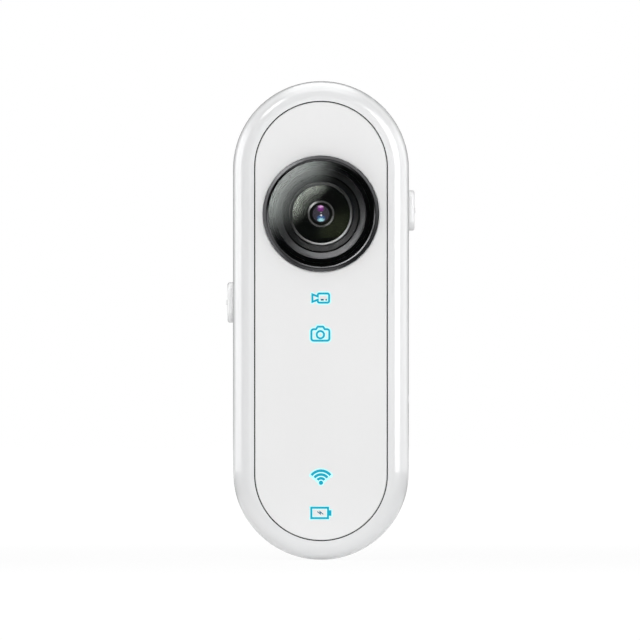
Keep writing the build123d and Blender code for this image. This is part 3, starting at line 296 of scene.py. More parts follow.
def lay_over(tree, under, mask, colour):
    """Lays a colour over another where the mask is 1."""
    mix = tree.nodes.new("ShaderNodeMix")
    mix.data_type = "RGBA"
    tree.links.new(mask, mix.inputs["Factor"])
    if isinstance(under, tuple):
        mix.inputs["A"].default_value = (*under, 1)
    else:
        tree.links.new(under, mix.inputs["A"])
    mix.inputs["B"].default_value = (*colour, 1)
    return mix.outputs["Result"]


def bead_painted_reflections():
    """Bead painted with glowing reflections: grey and violet, a painted magenta reflection, a painted cyan
    reflection and two painted highlight specks.
    """
    material, shader, tree, where = start_finish("bead_painted_reflections")
    edge = (0.012, 0.012, 0.016)
    ground = (0.055, 0.05, 0.066)
    magenta, pink = (0.3, 0.05, 0.32), (0.85, 0.46, 0.85)
    blue, cyan, painted_speck_highlight = (0.06, 0.17, 0.42), (0.5, 0.92, 1.0), (0.95, 0.95, 1.0)
    painted_patches = [
        (0.0, 0.0, 0.99, 0.99, 0.92, ground),
        (-0.03, 0.56, 0.52, 0.42, 0.1, magenta),
        (-0.04, 0.83, 0.42, 0.2, 0.3, pink),
        (0.0, -0.44, 0.64, 0.45, 0.1, blue),
        (0.0, -0.67, 0.5, 0.28, 0.3, cyan),
        (0.02, -0.18, 0.16, 0.16, 0.3, painted_speck_highlight),
        (0.0, 0.12, 0.07, 0.07, 0.3, painted_speck_highlight),
    ]
    paint = edge
    for across, up, wide, tall, hardness, colour in painted_patches:
        centre = (lens_x + across * bead_radius, lens_z + up * bead_radius)
        mask = spot(tree, where, centre, (wide * bead_radius, tall * bead_radius), hardness)
        paint = lay_over(tree, paint, mask, colour)
    tree.links.new(paint, shader.inputs["Base Color"])
    # The painted reflections and highlights glow as light of the bead's own.
    tree.links.new(paint, shader.inputs["Emission Color"])
    shader.inputs["Emission Strength"].default_value = 2.6
    shader.inputs["Specular IOR Level"].default_value = 0.0
    shader.inputs["Roughness"].default_value = 0.06
    return material


dress(bead_painted_reflections(), "middle_lens")

# A thin turned ring of bright metal holds the middle lens in the throat of the funnel. It glows with a
# painted light of its own, with painted glints at its upper left and its lower right.


def ring_with_painted_light():
    """Bright metal with a painted glow and two painted glints on its bevels."""
    material = metal("ring_painted_light", (0.62, 0.62, 0.64), roughness=0.18)
    tree = material.node_tree
    where = tree.nodes["Texture Coordinate"].outputs["Object"]
    shader = tree.nodes["Principled BSDF"]
    plain, dull, bright = (0.11, 0.107, 0.107), (0.3, 0.3, 0.3), (0.9, 0.9, 0.9)
    paint = plain
    painted_glint_spots = [(-0.66, 0.66, 0.9, dull), (-0.68, 0.7, 0.5, bright), (0.66, -0.62, 0.6, dull)]
    for across, up, reach, colour in painted_glint_spots:
        centre = (lens_x + across * ring_radius, lens_z + up * ring_radius)
        mask = spot(tree, where, centre, (reach * ring_radius, reach * ring_radius), 0.2)
        paint = lay_over(tree, paint, mask, colour)
    # Painted glow and painted glints, given out as light of the ring's own.
    tree.links.new(paint, shader.inputs["Emission Color"])
    shader.inputs["Emission Strength"].default_value = 2.0
    return material


ring_low, ring_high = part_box("throat_ring")
ring_radius = (ring_high.x - ring_low.x) / 2
dress(ring_with_painted_light(), "throat_ring")

# The front lens is a domed glass with a dark coating that reflects olive green.

front_crown = 0.95 * MM


def dome_normal(tree, where, node, crown):
    """Exact normal of a spherical glass face, from its node's size and the height of its crown."""
    low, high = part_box(node)
    radius = (high.x - low.x) / 2
    curve = (radius ** 2 + crown ** 2) / (2 * crown)
    away = tree.nodes.new("ShaderNodeVectorMath")
    away.operation = "SUBTRACT"
    away.inputs[1].default_value = (lens_x, low.y + curve, lens_z)
    tree.links.new(where, away.inputs[0])
    unit = tree.nodes.new("ShaderNodeVectorMath")
    unit.operation = "NORMALIZE"
    tree.links.new(away.outputs["Vector"], unit.inputs[0])
    return unit.outputs["Vector"]


def coated_glass(name, node, crown, body, sheen, cover, mirror, coating):
    """Polished coated glass: the colours of its body and its sheen, how much it covers, and the
    refractive indices of the glass as a mirror and of the coating on the face that looks out."""
    material, shader, tree, where = start_finish(name)
    normal = dome_normal(tree, where, node, crown)
    tree.links.new(normal, shader.inputs["Normal"])
    tree.links.new(normal, shader.inputs["Coat Normal"])
    haze = grain(tree, where, 4 * MM)
    tree.links.new(tint(tree, haze, shade(body, 0.9), body), shader.inputs["Base Color"])
    tree.links.new(spread(tree, haze, 0.01, 0.016), shader.inputs["Roughness"])
    face = tree.nodes.new("ShaderNodeNewGeometry")
    outside = tree.nodes.new("ShaderNodeMapRange")
    outside.inputs["To Min"].default_value = cover
    outside.inputs["To Max"].default_value = 0.0
    tree.links.new(face.outputs["Backfacing"], outside.inputs["Value"])
    tree.links.new(outside.outputs["Result"], shader.inputs["Alpha"])
    shader.inputs["IOR"].default_value = mirror
    shader.inputs["Specular Tint"].default_value = (*sheen, 1)
    shader.inputs["Coat Weight"].default_value = 1.0
    shader.inputs["Coat IOR"].default_value = coating
    shader.inputs["Coat Roughness"].default_value = 0.01
    return material


dress(coated_glass("front_lens_coating", "front_lens", front_crown, (0.004, 0.006, 0.003),
                   (0.86, 0.97, 0.8), cover=0.6, mirror=3.0, coating=1.5), "front_lens")

# The hood is a stepped funnel of black metal, turned from aluminium and anodised black. Its rings are
# painted light and shade: a black slot outside and a deep groove painted as shade in the recesses,
# and a grey ring, a dark ring and a bright lip round its mouth painted lighter where light falls.


def rings_of_painted_light(name, ground, rings, roughness):
    """Metal painted in rings of light and shade about the lens axis, laid over a ground from the
    outside inwards: pairs of outer radius and colour."""
    material, shader, tree, where = start_finish(name)
    paint, edge_share = ground, 0.985
    for radius, colour in rings:
        mask = spot(tree, where, (lens_x, lens_z), (radius, radius), edge_share)
        paint = lay_over(tree, paint, mask, colour)
    clouds = grain(tree, where, 0.4 * MM)
    tree.links.new(paint, shader.inputs["Base Color"])
    tree.links.new(spread(tree, clouds, roughness * 0.85, roughness * 1.15), shader.inputs["Roughness"])
    roughen(tree, shader, clouds, 0.001 * MM)
    shader.inputs["Metallic"].default_value = 1.0
    return material


# Painted shade and light of the hood: near-black slot and groove as painted shade, lighter rings and lip as
# painted light.
slot_painted_shade = (0.006, 0.006, 0.007)
hood_painted_light_rings = [
    (7.0 * MM, (0.185, 0.185, 0.19)),
    (6.03 * MM, (0.003, 0.003, 0.003)),
    (5.8 * MM, (0.06, 0.059, 0.06)),
    (4.95 * MM, (0.5, 0.5, 0.5)),
]
dress(rings_of_painted_light("hood_painted_rings", slot_painted_shade, hood_painted_light_rings, roughness=0.42), "lens_hood")

# The bezel is a turned aluminium ring in dark grey anodising, polished on its two bevels. The cover
# glass is pressed into it and has a faint grey-green coating.

bezel_grey = (0.15, 0.15, 0.155)
dress(metal("anodised_bezel", bezel_grey, roughness=0.2, streak=0.12 * MM, height=0.0001 * MM), "lens_bezel")
cover_crown = 0.55 * MM
dress(coated_glass("cover_coating", "cover_glass", cover_crown, (0.003, 0.004, 0.004), (0.84, 1.0, 0.91),
                   cover=0.35, mirror=2.6, coating=2.2), "cover_glass")

# The front housing is the same glossy white as the rear cover. Its rim is a full round that ends at
# the step for the panel.

dress(glossy_shell, "front_housing")
dress(moulded("panel_tape", (0.03, 0.03, 0.03), roughness=0.9, height=0.01 * MM), "panel_tape")

# The front panel is a flat white plate with a satin gloss, taped into the housing.

panel_white = (0.85, 0.85, 0.85)
satin_panel = moulded("satin_white_panel", panel_white, roughness=0.3, coat=0.15)
dress(satin_panel, "front_panel")

# A fine dark flat ring lies at the bottom of the seam round the panel, on the tape's level, as painted shade
# that darkens the seam.


def make_seam_shade():
    """Flat ring with round ends, between the panel and the housing, on the tape's level, as painted shade in
    the seam.
    """
    bead_width, bead_thick, arc_steps, overlap = 0.26 * MM, 0.1 * MM, 48, 0.05 * MM
    low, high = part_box("front_panel")
    radius = (high.x - low.x) / 2
    mesh = bmesh.new()
    loops = []
    inner, outer, top = radius - overlap, radius - overlap + bead_width, high.y - bead_thick
    for reach, y in ((inner, high.y), (outer, high.y), (outer, top), (inner, top)):
        loop = []
        for middle, start in ((high.z - radius, 0), (low.z + radius, math.pi)):
            for i in range(arc_steps + 1):
                turn = start + math.pi * i / arc_steps
                loop.append(mesh.verts.new((reach * math.cos(turn), y, middle + reach * math.sin(turn))))
        loops.append(loop)
    count = len(loops[0])
    for one, other in zip(loops, loops[1:] + loops[:1]):
        for i in range(count):
            j = (i + 1) % count
            mesh.faces.new((one[i], one[j], other[j], other[i]))
    bmesh.ops.recalc_face_normals(mesh, faces=mesh.faces)
    data = bpy.data.meshes.new("seam_shade_ring")
    mesh.to_mesh(data)
    mesh.free()
    piece = bpy.data.objects.new("seam_shade_ring", data)
    bpy.context.scene.collection.objects.link(piece)
    # Near-black painted shade at the bottom of the seam.
    data.materials.append(moulded("seam_painted_shade", (0.012, 0.012, 0.012), roughness=0.9, height=0.004 * MM))
    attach(piece, "housing")


make_seam_shade()

# The four icons are thin translucent cyan prints on the panel, lit from behind: a video camera, a
# photo camera, a wireless fan and a battery. A pale rim of light shows round each stroke.

icon_stroke = 0.295 * MM
icon_height = 0.03 * MM
halo_height = 0.012 * MM
halo_width = 0.19 * MM
icon_mitre, halo_mitre = 0.35, 0.9
panel_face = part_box("front_panel")[0].y


def lit_print(name, colour, glow, strength):
    """Translucent print with a soft light of its own."""
    material, shader, tree, where = start_finish(name)
    clouds = grain(tree, where, 0.6 * MM)
    tree.links.new(tint(tree, clouds, shade(colour, 0.96), shade(colour, 1.04)), shader.inputs["Base Color"])
    shader.inputs["Emission Color"].default_value = (*glow, 1)
    shader.inputs["Emission Strength"].default_value = strength
    shader.inputs["Roughness"].default_value = 0.35
    shader.inputs["Specular IOR Level"].default_value = 0.1
    return material


def side_points(points, closed, width, blunt):
    """Points half a width to either side of a line, mitred at its corners down to that cosine."""
    count = len(points)
    left, right = [], []
    for i, (x, z) in enumerate(points):
        before = points[i - 1] if closed or i else None
        after = points[(i + 1) % count] if closed or i < count - 1 else None
        ways = []
        for start, end in ((before, (x, z)), ((x, z), after)):
            if start is not None and end is not None:
                run = math.hypot(end[0] - start[0], end[1] - start[1])
                ways.append(((end[0] - start[0]) / run, (end[1] - start[1]) / run))
        across = Vector((-sum(w[1] for w in ways), sum(w[0] for w in ways))).normalized()
        mitre = width / 2 / max(blunt, abs(across.x * -ways[0][1] + across.y * ways[0][0]))
        left.append((x + across.x * mitre, z + across.y * mitre))
        right.append((x - across.x * mitre, z - across.y * mitre))
    return left, right


def holds(rim, place):
    """Whether a closed rim goes round a place."""
    crossings = 0
    for start, end in zip(rim, rim[1:] + rim[:1]):
        if (start[1] > place[1]) != (end[1] > place[1]):
            share = (place[1] - start[1]) / (end[1] - start[1])
            crossings += place[0] < start[0] + share * (end[0] - start[0])
    return crossings % 2 == 1


class Pen:
    """Draws flat shapes on the panel's face, each grown by a margin all round."""

    def __init__(self, margin=0.0):
        self.rims = []
        self.margin = margin

    def solid(self, height):
        """One flat solid of all the shapes joined. They are cut along each other's rims in
        millimetres, and the cells that any rim goes round are kept."""
        points, faces, weld = [], [], 0.0001
        for rim in self.rims:
            faces.append(list(range(len(points), len(points) + len(rim))))
            points += [Vector(point) / MM for point in rim]
        places, _, cells, _, _, _ = delaunay_2d_cdt(points, [], faces, 0, weld)
        mesh = bmesh.new()
        front = [mesh.verts.new((place.x * MM, panel_face - height, place.y * MM)) for place in places]
        for cell in cells:
            middle = sum((places[i] for i in cell), Vector((0, 0))) * MM / len(cell)
            if any(holds(rim, middle) for rim in self.rims):
                mesh.faces.new([front[i] for i in cell])
        grown = bmesh.ops.extrude_face_region(mesh, geom=mesh.faces[:])["geom"]
        moved = [part for part in grown if isinstance(part, bmesh.types.BMVert)]
        bmesh.ops.translate(mesh, verts=moved, vec=(0, height + icon_height, 0))
        bmesh.ops.delete(mesh, geom=[vert for vert in mesh.verts if not vert.link_faces], context="VERTS")
        bmesh.ops.recalc_face_normals(mesh, faces=mesh.faces)
        return mesh

    def stroke(self, points, closed=False, width=icon_stroke):
        """A stroke along a line."""
        blunt = halo_mitre if self.margin else icon_mitre
        left, right = side_points(points, closed, width + 2 * self.margin, blunt)
        count = len(points)
        for i in range(count if closed else count - 1):
            j = (i + 1) % count
            self.rims.append([left[i], left[j], right[j], right[i]])
        if self.margin:
            for point in points:
                self.rims.append(arc(point, width / 2 + self.margin, 0, 360, steps=16)[:-1])

    def plate(self, rim):
        """A filled shape."""
        self.rims.append(rim)
        if self.margin:
            self.stroke(rim, closed=True, width=0)


def arc(centre, radius, start, end, steps=12):
    """Points on an arc, with its angles in degrees from +X."""
    turns = [math.radians(start + (end - start) * i / steps) for i in range(steps + 1)]
    return [(centre[0] + radius * math.cos(t), centre[1] + radius * math.sin(t)) for t in turns]


def video_icon(pen, z):
    """Video camera: a rounded body with two marks, open at its left into a flared hood."""
    left, right, half, corner = -0.5 * MM, 1.25 * MM, 0.7 * MM, 0.26 * MM
    hood, flare, neck = -1.31 * MM, 0.57 * MM, 0.25 * MM
    line = [(hood, z + flare), (hood, z - flare), (left, z - neck)]
    line += arc((left + corner, z - half + corner), corner, 180, 270, steps=5)
    line += arc((right - corner, z - half + corner), corner, 270, 360, steps=5)
    line += arc((right - corner, z + half - corner), corner, 0, 90, steps=5)
    line += arc((left + corner, z + half - corner), corner, 90, 180, steps=5)
    pen.stroke(line + [(left, z + neck)], closed=True)


def video_marks(pen, z):
    """Two small marks inside the video camera's body."""
    drop, width_share = 0.26 * MM, 0.85
    for start, end in ((-0.03 * MM, 0.42 * MM), (0.71 * MM, 0.91 * MM)):
        pen.stroke([(start, z - drop), (end, z - drop)], width=icon_stroke * width_share)


def photo_icon(pen, z):
    """Photo camera: a rounded body with a hump above and a round lens."""
    middle, wide, low, high, top = -0.09 * MM, 1.38 * MM, z - 1.05 * MM, z + 0.7 * MM, z + 1.1 * MM
    foot, head, corner = 0.68 * MM, 0.4 * MM, 0.34 * MM
    eye_drop, eye_radius = 0.14 * MM, 0.56 * MM
    line = arc((middle + wide - corner, low + corner), corner, -90, 0, steps=5)
    line += arc((middle + wide - corner, high - corner), corner, 0, 90, steps=5)
    line += [(middle + foot, high), (middle + head, top), (middle - head, top), (middle - foot, high)]
    line += arc((middle - wide + corner, high - corner), corner, 90, 180, steps=5)
    line += arc((middle - wide + corner, low + corner), corner, 180, 270, steps=5)
    pen.stroke(line, closed=True)
    pen.stroke(arc((middle, z - eye_drop), eye_radius, 0, 360, steps=32)[:-1], closed=True)


def wireless_icon(pen, z):
    """Wireless fan: a dot and three arcs over it."""
    foot, dot_radius, lean, width_share = (0, z - 0.755 * MM), 0.32 * MM, 38.5, 1.3
    pen.plate(arc(foot, dot_radius, 0, 360, steps=24)[:-1])
    for radius in (0.68 * MM, 1.26 * MM, 1.85 * MM):
        pen.stroke(arc(foot, radius, lean, 180 - lean, steps=16), width=icon_stroke * width_share)


def charge_icon(pen, z):
    """Battery: a box with a nub at its right."""
    middle, half = z + 0.11 * MM, 0.8 * MM
    left, right, nub, nub_half = -1.48 * MM, 1.08 * MM, 1.6 * MM, 0.42 * MM
    pen.stroke([(left, middle - half), (right, middle - half), (right, middle + half), (left, middle + half)],
               closed=True)
    pen.plate([(right, middle - nub_half), (nub, middle - nub_half), (nub, middle + nub_half),
               (right, middle + nub_half)])


def charge_bolt(pen, z):
    """Small slanting bolt inside the battery."""
    middle, width_share = z + 0.13 * MM, 0.45
    pen.stroke([(-0.56 * MM, middle + 0.2 * MM), (-0.08 * MM, middle - 0.17 * MM),
                (-0.16 * MM, middle + 0.2 * MM), (0.34 * MM, middle - 0.22 * MM)],
               width=icon_stroke * width_share)


def make_icon(name, kind, draw, material, height, margin=0.0):
    """One layer of print on the panel, in front of its light guide."""
    low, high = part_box(name + "_light_guide")
    pen = Pen(margin)
    draw(pen, (low.z + high.z) / 2)
    mesh = pen.solid(height)
    data = bpy.data.meshes.new(name + "_" + kind)
    mesh.to_mesh(data)
    mesh.free()
    piece = bpy.data.objects.new(name + "_" + kind, data)
    bpy.context.scene.collection.objects.link(piece)
    data.materials.append(material)
    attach(piece, "housing")
    prints.append(piece)


prints = []
cyan_print = lit_print("cyan_print", (0.01, 0.24, 0.35), (0.01, 0.5, 0.66), 0.36)
dark_print = lit_print("dark_print", (0.0, 0.11, 0.18), (0.0, 0.4, 0.6), 0.1)
pale_halo = lit_print("pale_halo", (0.62, 0.9, 0.92), (0.05, 1.0, 1.0), 0.17)
for name, draw in (("video", video_icon), ("photo", photo_icon), ("wireless", wireless_icon),
                   ("charge", charge_icon)):
    make_icon(name, "icon", draw, cyan_print, icon_height)
    make_icon(name, "halo", draw, pale_halo, halo_height, halo_width)
make_icon("video", "marks", video_marks, dark_print, icon_height)
make_icon("charge", "bolt", charge_bolt, dark_print, icon_height)

# The side buttons are moulded like the shell, a little less glossy, each in a thin pale seal.

dress(moulded("button_white", (0.86, 0.862, 0.865), roughness=0.28, coat=0.25), "left_button",
      "right_button")
dress(moulded("pale_seal", (0.62, 0.63, 0.64), roughness=0.6, height=0.003 * MM), "left_button_seal",
      "right_button_seal")

# The port door is cut from the same glossy white as the housing. Grey rubber plugs on its inner
# face close the two openings, and it turns on a steel pin.

dress(glossy_shell, "port_door")
grey_rubber = moulded("grey_rubber", (0.3, 0.31, 0.32), roughness=0.7, peel=0.2 * MM, height=0.006 * MM)
dress(grey_rubber, "port_seal", "clip_pad")

# The clip is a white moulded lever on a screwed bracket, with a steel pin, a spring of bright wire
# and a rubber pad at its nose.

dress(moulded("clip_white", (0.85, 0.855, 0.86), roughness=0.26, coat=0.3), "clip_lever", "clip_bracket")
dress(metal("polished_wire", (0.66, 0.66, 0.67), roughness=0.16), "clip_spring", "clip_pin", "port_door_pin")

# Studio: a pale floor under the camera's lower end and a white surround, which metal and glass show
# too. The surround is dark in reflections in front, where the photographer stands, right behind,
# where black cards give a white product its outline, and low on the right.

floor_level = cad_box[0].z
body_middle = (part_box("front_housing")[0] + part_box("front_housing")[1]) / 2
front_dark = 0.01
back_dark = 0.0
right_dark = 0.2


def faded(tree, value, start, end, low, high):
    """A value turned smoothly from one level to another between two limits."""
    fade = tree.nodes.new("ShaderNodeMapRange")
    fade.interpolation_type = "SMOOTHSTEP"
    fade.inputs["From Min"].default_value = start
    fade.inputs["From Max"].default_value = end
    fade.inputs["To Min"].default_value = low
    fade.inputs["To Max"].default_value = high
    tree.links.new(value, fade.inputs["Value"])
    return fade.outputs["Result"]


def combined(tree, operation, one, other):
    """Two levels put together; the second may be a number."""
    sum_up = tree.nodes.new("ShaderNodeMath")
    sum_up.operation = operation
    tree.links.new(one, sum_up.inputs[0])
    if isinstance(other, float):
        sum_up.inputs[1].default_value = other
    else:
        tree.links.new(other, sum_up.inputs[1])
    return sum_up.outputs["Value"]


def mirror_rays(tree, path):
    """1 for rays that a mirror or a glass sends on."""
    return combined(tree, "MAXIMUM", path.outputs["Is Glossy Ray"], path.outputs["Is Transmission Ray"])


def make_floor():
    """Pale floor that shows white and keeps a weak shadow round the object."""
    size, shadow_reach, shadow_share = 4.0, 0.3, 0.88
    near, far_off, near_level, seen_level = 0.03, 0.06, 0.9, 1.03
    bpy.ops.mesh.primitive_plane_add(size=size, location=(0, 0, floor_level))
    floor = bpy.context.object
    floor.name = "floor"
    material = bpy.data.materials.new("floor_white")
    material.use_nodes = True
    tree = material.node_tree
    tree.nodes.remove(tree.nodes["Principled BSDF"])
    matt = tree.nodes.new("ShaderNodeBsdfDiffuse")
    matt.inputs["Color"].default_value = (0.85, 0.85, 0.85, 1)
    glow = tree.nodes.new("ShaderNodeEmission")
    path = tree.nodes.new("ShaderNodeLightPath")
    where = tree.nodes.new("ShaderNodeTexCoord")
    parts = tree.nodes.new("ShaderNodeSeparateXYZ")
    far = tree.nodes.new("ShaderNodeVectorMath")
    far.operation = "LENGTH"
    tree.links.new(where.outputs["Object"], far.inputs[0])
    tree.links.new(where.outputs["Object"], parts.inputs["Vector"])
    seen_share = faded(tree, far.outputs["Value"], near, shadow_reach, shadow_share, 1.0)
    seen = combined(tree, "MULTIPLY", path.outputs["Is Camera Ray"], seen_share)
    mirrored = mirror_rays(tree, path)
    front = faded(tree, parts.outputs["Y"], 0.0, 0.3, front_dark, 1.0)
    close = faded(tree, far.outputs["Value"], near, far_off, near_level, 0.0)
    front = combined(tree, "MAXIMUM", front, close)
    white = combined(tree, "MULTIPLY", path.outputs["Is Camera Ray"], seen_level)
    level = combined(tree, "MAXIMUM", front, white)
    tree.links.new(level, glow.inputs["Strength"])
    mix = tree.nodes.new("ShaderNodeMixShader")
    tree.links.new(combined(tree, "MAXIMUM", seen, mirrored), mix.inputs["Fac"])
    tree.links.new(matt.outputs["BSDF"], mix.inputs[1])
    tree.links.new(glow.outputs["Emission"], mix.inputs[2])
    tree.links.new(mix.outputs["Shader"], tree.nodes["Material Output"].inputs["Surface"])
    floor.data.materials.append(material)
    return floor


def make_world():
    """White surround where it is seen, and an even soft fill, stronger from above."""
    fill_below, fill_above, low_right = 0.26, 0.42, (0.8, 0, -0.6)
    world = bpy.data.worlds.new("studio")
    bpy.context.scene.world = world
    world.use_nodes = True
    tree = world.node_tree
    shown = tree.nodes["Background"]
    shown.inputs["Color"].default_value = (1, 1, 1, 1)
    fill = tree.nodes.new("ShaderNodeBackground")
    fill.inputs["Color"].default_value = (1, 1, 1, 1)
    where = tree.nodes.new("ShaderNodeTexCoord")
    parts = tree.nodes.new("ShaderNodeSeparateXYZ")
    path = tree.nodes.new("ShaderNodeLightPath")
    tree.links.new(where.outputs["Generated"], parts.inputs["Vector"])
    even_fill = faded(tree, parts.outputs["Z"], -1.0, 1.0, fill_below, fill_above)
    tree.links.new(even_fill, fill.inputs["Strength"])
    front = faded(tree, parts.outputs["Y"], -0.4, 0.05, front_dark, 1.0)
    back = faded(tree, parts.outputs["Y"], 0.25, 0.7, 1.0, back_dark)
    aside = tree.nodes.new("ShaderNodeVectorMath")
    aside.operation = "DOT_PRODUCT"
    aside.inputs[1].default_value = low_right
    tree.links.new(where.outputs["Generated"], aside.inputs[0])
    right = faded(tree, aside.outputs["Value"], 0.1, 0.75, 1.0, right_dark)
    around = combined(tree, "MULTIPLY", combined(tree, "MINIMUM", front, back), right)
    level = combined(tree, "MAXIMUM", around, path.outputs["Is Camera Ray"])
    tree.links.new(level, shown.inputs["Strength"])
    seen = combined(tree, "MAXIMUM", path.outputs["Is Camera Ray"], mirror_rays(tree, path))
    mix = tree.nodes.new("ShaderNodeMixShader")
    tree.links.new(seen, mix.inputs["Fac"])
    tree.links.new(fill.outputs["Background"], mix.inputs[1])
    tree.links.new(shown.outputs["Background"], mix.inputs[2])
    tree.links.new(mix.outputs["Shader"], tree.nodes["World Output"].inputs["Surface"])


def soft_box(name, place, size, watts, lights=()):
    """Large rectangular lamp that faces the middle of the body and isn't seen in gloss. It lights
    everything, or only the pieces given."""
    lamp = bpy.data.lights.new(name, "AREA")
    lamp.shape = "RECTANGLE"
    lamp.size, lamp.size_y = size
    lamp.energy = watts
    holder = bpy.data.objects.new(name, lamp)
    holder.location = place
    holder.rotation_euler = (body_middle - Vector(place)).to_track_quat("-Z", "Y").to_euler()
    holder.visible_glossy = holder.visible_camera = False
    bpy.context.scene.collection.objects.link(holder)
    if lights:
        shown_to(holder, lights)


def shown_to(light, pieces):
    """Lets a lamp or a screen reach only those pieces."""
    group = bpy.data.collections.new(light.name + "_pieces")
    for piece in pieces:
        group.objects.link(piece)
    light.light_linking.receiver_collection = group


def nodes(*names):
    """Carried-over nodes by name."""
    return [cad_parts[name] for name in names]


def make_cloth(name, way, distance, size):
    """Cloth that only gloss shows, set off along a direction and facing the body: the cloth, its
    tree, its light and its own place, which runs from -0.5 to 0.5 across and up."""
    bpy.ops.mesh.primitive_plane_add(size=1, location=body_middle + way * distance)
    cloth = bpy.context.object
    cloth.name = name
    cloth.scale = (*size, 1)
    cloth.rotation_euler = way.to_track_quat("Z", "Y").to_euler()
    cloth.visible_camera = cloth.visible_diffuse = cloth.visible_shadow = False
    material = bpy.data.materials.new(name)
    material.use_nodes = True
    tree = material.node_tree
    tree.nodes.remove(tree.nodes["Principled BSDF"])
    where = tree.nodes.new("ShaderNodeTexCoord")
    glow = tree.nodes.new("ShaderNodeEmission")
    see_through = tree.nodes.new("ShaderNodeBsdfTransparent")
    both = tree.nodes.new("ShaderNodeAddShader")
    tree.links.new(glow.outputs["Emission"], both.inputs[0])
    tree.links.new(see_through.outputs["BSDF"], both.inputs[1])
    tree.links.new(both.outputs["Shader"], tree.nodes["Material Output"].inputs["Surface"])
    cloth.data.materials.append(material)
    return cloth, tree, glow, where.outputs["Object"]


def screen(name, turn, lift, size, strength, mirrors, soft=(0.3, 0.3, 0.3, 0.3)):
    """Lit cloth screen a metre off: turned from the front and lifted in degrees, its size in metres,
    and how soft its left, right, lower and upper edges are, as shares of its size."""
    turn, lift = math.radians(turn), math.radians(lift)
    way = Vector((math.sin(turn) * math.cos(lift), -math.cos(turn) * math.cos(lift), math.sin(lift)))
    cloth, tree, glow, where = make_cloth(name, way, 1.0, size)
    parts = tree.nodes.new("ShaderNodeSeparateXYZ")
    tree.links.new(where, parts.inputs["Vector"])
    across, up = parts.outputs["X"], parts.outputs["Y"]
    left, right, lower, upper = soft
    edges = [faded(tree, across, -0.5, left - 0.5, 0.0, 1.0), faded(tree, across, 0.5 - right, 0.5, 1.0, 0.0),
             faded(tree, up, -0.5, lower - 0.5, 0.0, 1.0), faded(tree, up, 0.5 - upper, 0.5, 1.0, 0.0)]
    lit = combined(tree, "MULTIPLY", edges[0], edges[1])
    for edge in edges[2:]:
        lit = combined(tree, "MULTIPLY", lit, edge)
    tree.links.new(combined(tree, "MULTIPLY", lit, strength), glow.inputs["Strength"])
    shown_to(cloth, mirrors)


def lens_cloth(name, distance, reach):
    """Cloth square to the lens axis, close in front of the lens: the cloth, its tree, its light and
    its own place in slopes, the tangents of the angles at which the lens sees it."""
    width = 2 * reach * distance
    cloth, tree, glow, where = make_cloth(name, Vector((0, -1, 0)), distance, (width, width))
    cloth.location = (lens_x, lens_low.y - distance, lens_z)
    slopes = tree.nodes.new("ShaderNodeVectorMath")
    slopes.operation = "SCALE"
    slopes.inputs["Scale"].default_value = 2 * reach
    tree.links.new(where, slopes.inputs[0])
    return cloth, tree, glow, slopes.outputs["Vector"]


def towards(tree, vector, bearing):
    """How far a vector reaches towards a bearing, in degrees from the right."""
    along = tree.nodes.new("ShaderNodeVectorMath")
    along.operation = "DOT_PRODUCT"
    along.inputs[1].default_value = (math.cos(math.radians(bearing)), math.sin(math.radians(bearing)), 0)
    tree.links.new(vector, along.inputs[0])
    return along.outputs["Value"]


def off_axis(tree, slopes):
    """Distance of a place on a lens cloth from the axis, and its direction."""
    far = tree.nodes.new("ShaderNodeVectorMath")
    far.operation = "LENGTH"
    tree.links.new(slopes, far.inputs[0])
    unit = tree.nodes.new("ShaderNodeVectorMath")
    unit.operation = "NORMALIZE"
    tree.links.new(slopes, unit.inputs[0])
    return far.outputs["Value"], unit.outputs["Vector"]


def crescent(name, distance, reach, ring, bearing, side, strength, mirrors, colour=(1, 1, 1)):
    """Crescent of light round the lens axis: the slopes between which it grows, the bearing where it
    is brightest, and the cosines from that bearing between which it grows, both with the square."""
    cloth, tree, glow, slopes = lens_cloth(name, distance, reach)
    far, unit = off_axis(tree, slopes)
    lit = combined(tree, "MULTIPLY", faded(tree, far, *ring, 0.0, 1.0),
                   faded(tree, towards(tree, unit, bearing), *side, 0.0, 1.0))
    lit = combined(tree, "POWER", lit, 2.0)
    glow.inputs["Color"].default_value = (*colour, 1)
    tree.links.new(combined(tree, "MULTIPLY", lit, strength), glow.inputs["Strength"])
    shown_to(cloth, mirrors)


def window(name, distance, reach, strength, mirrors):
    """Window whose slanting edge crosses the front lens: bright far off the axis at the upper left."""
    edge_bearing, edge_dark, edge_lit, middle_bearing = 140.6, 0.37, 0.4, 135
    cloth, tree, glow, slopes = lens_cloth(name, distance, reach)
    far, unit = off_axis(tree, slopes)
    edge = faded(tree, towards(tree, slopes, edge_bearing), edge_dark, edge_lit, 0.0, 1.0)
    lit = combined(tree, "MULTIPLY", faded(tree, far, 0.05, 1.3, 0.0, 1.0),
                   faded(tree, towards(tree, unit, middle_bearing), 0.2, 1.0, 0.0, 1.0))
    lit = combined(tree, "MULTIPLY", combined(tree, "POWER", lit, 2.0), edge)
    tree.links.new(combined(tree, "MULTIPLY", lit, strength), glow.inputs["Strength"])
    shown_to(cloth, mirrors)


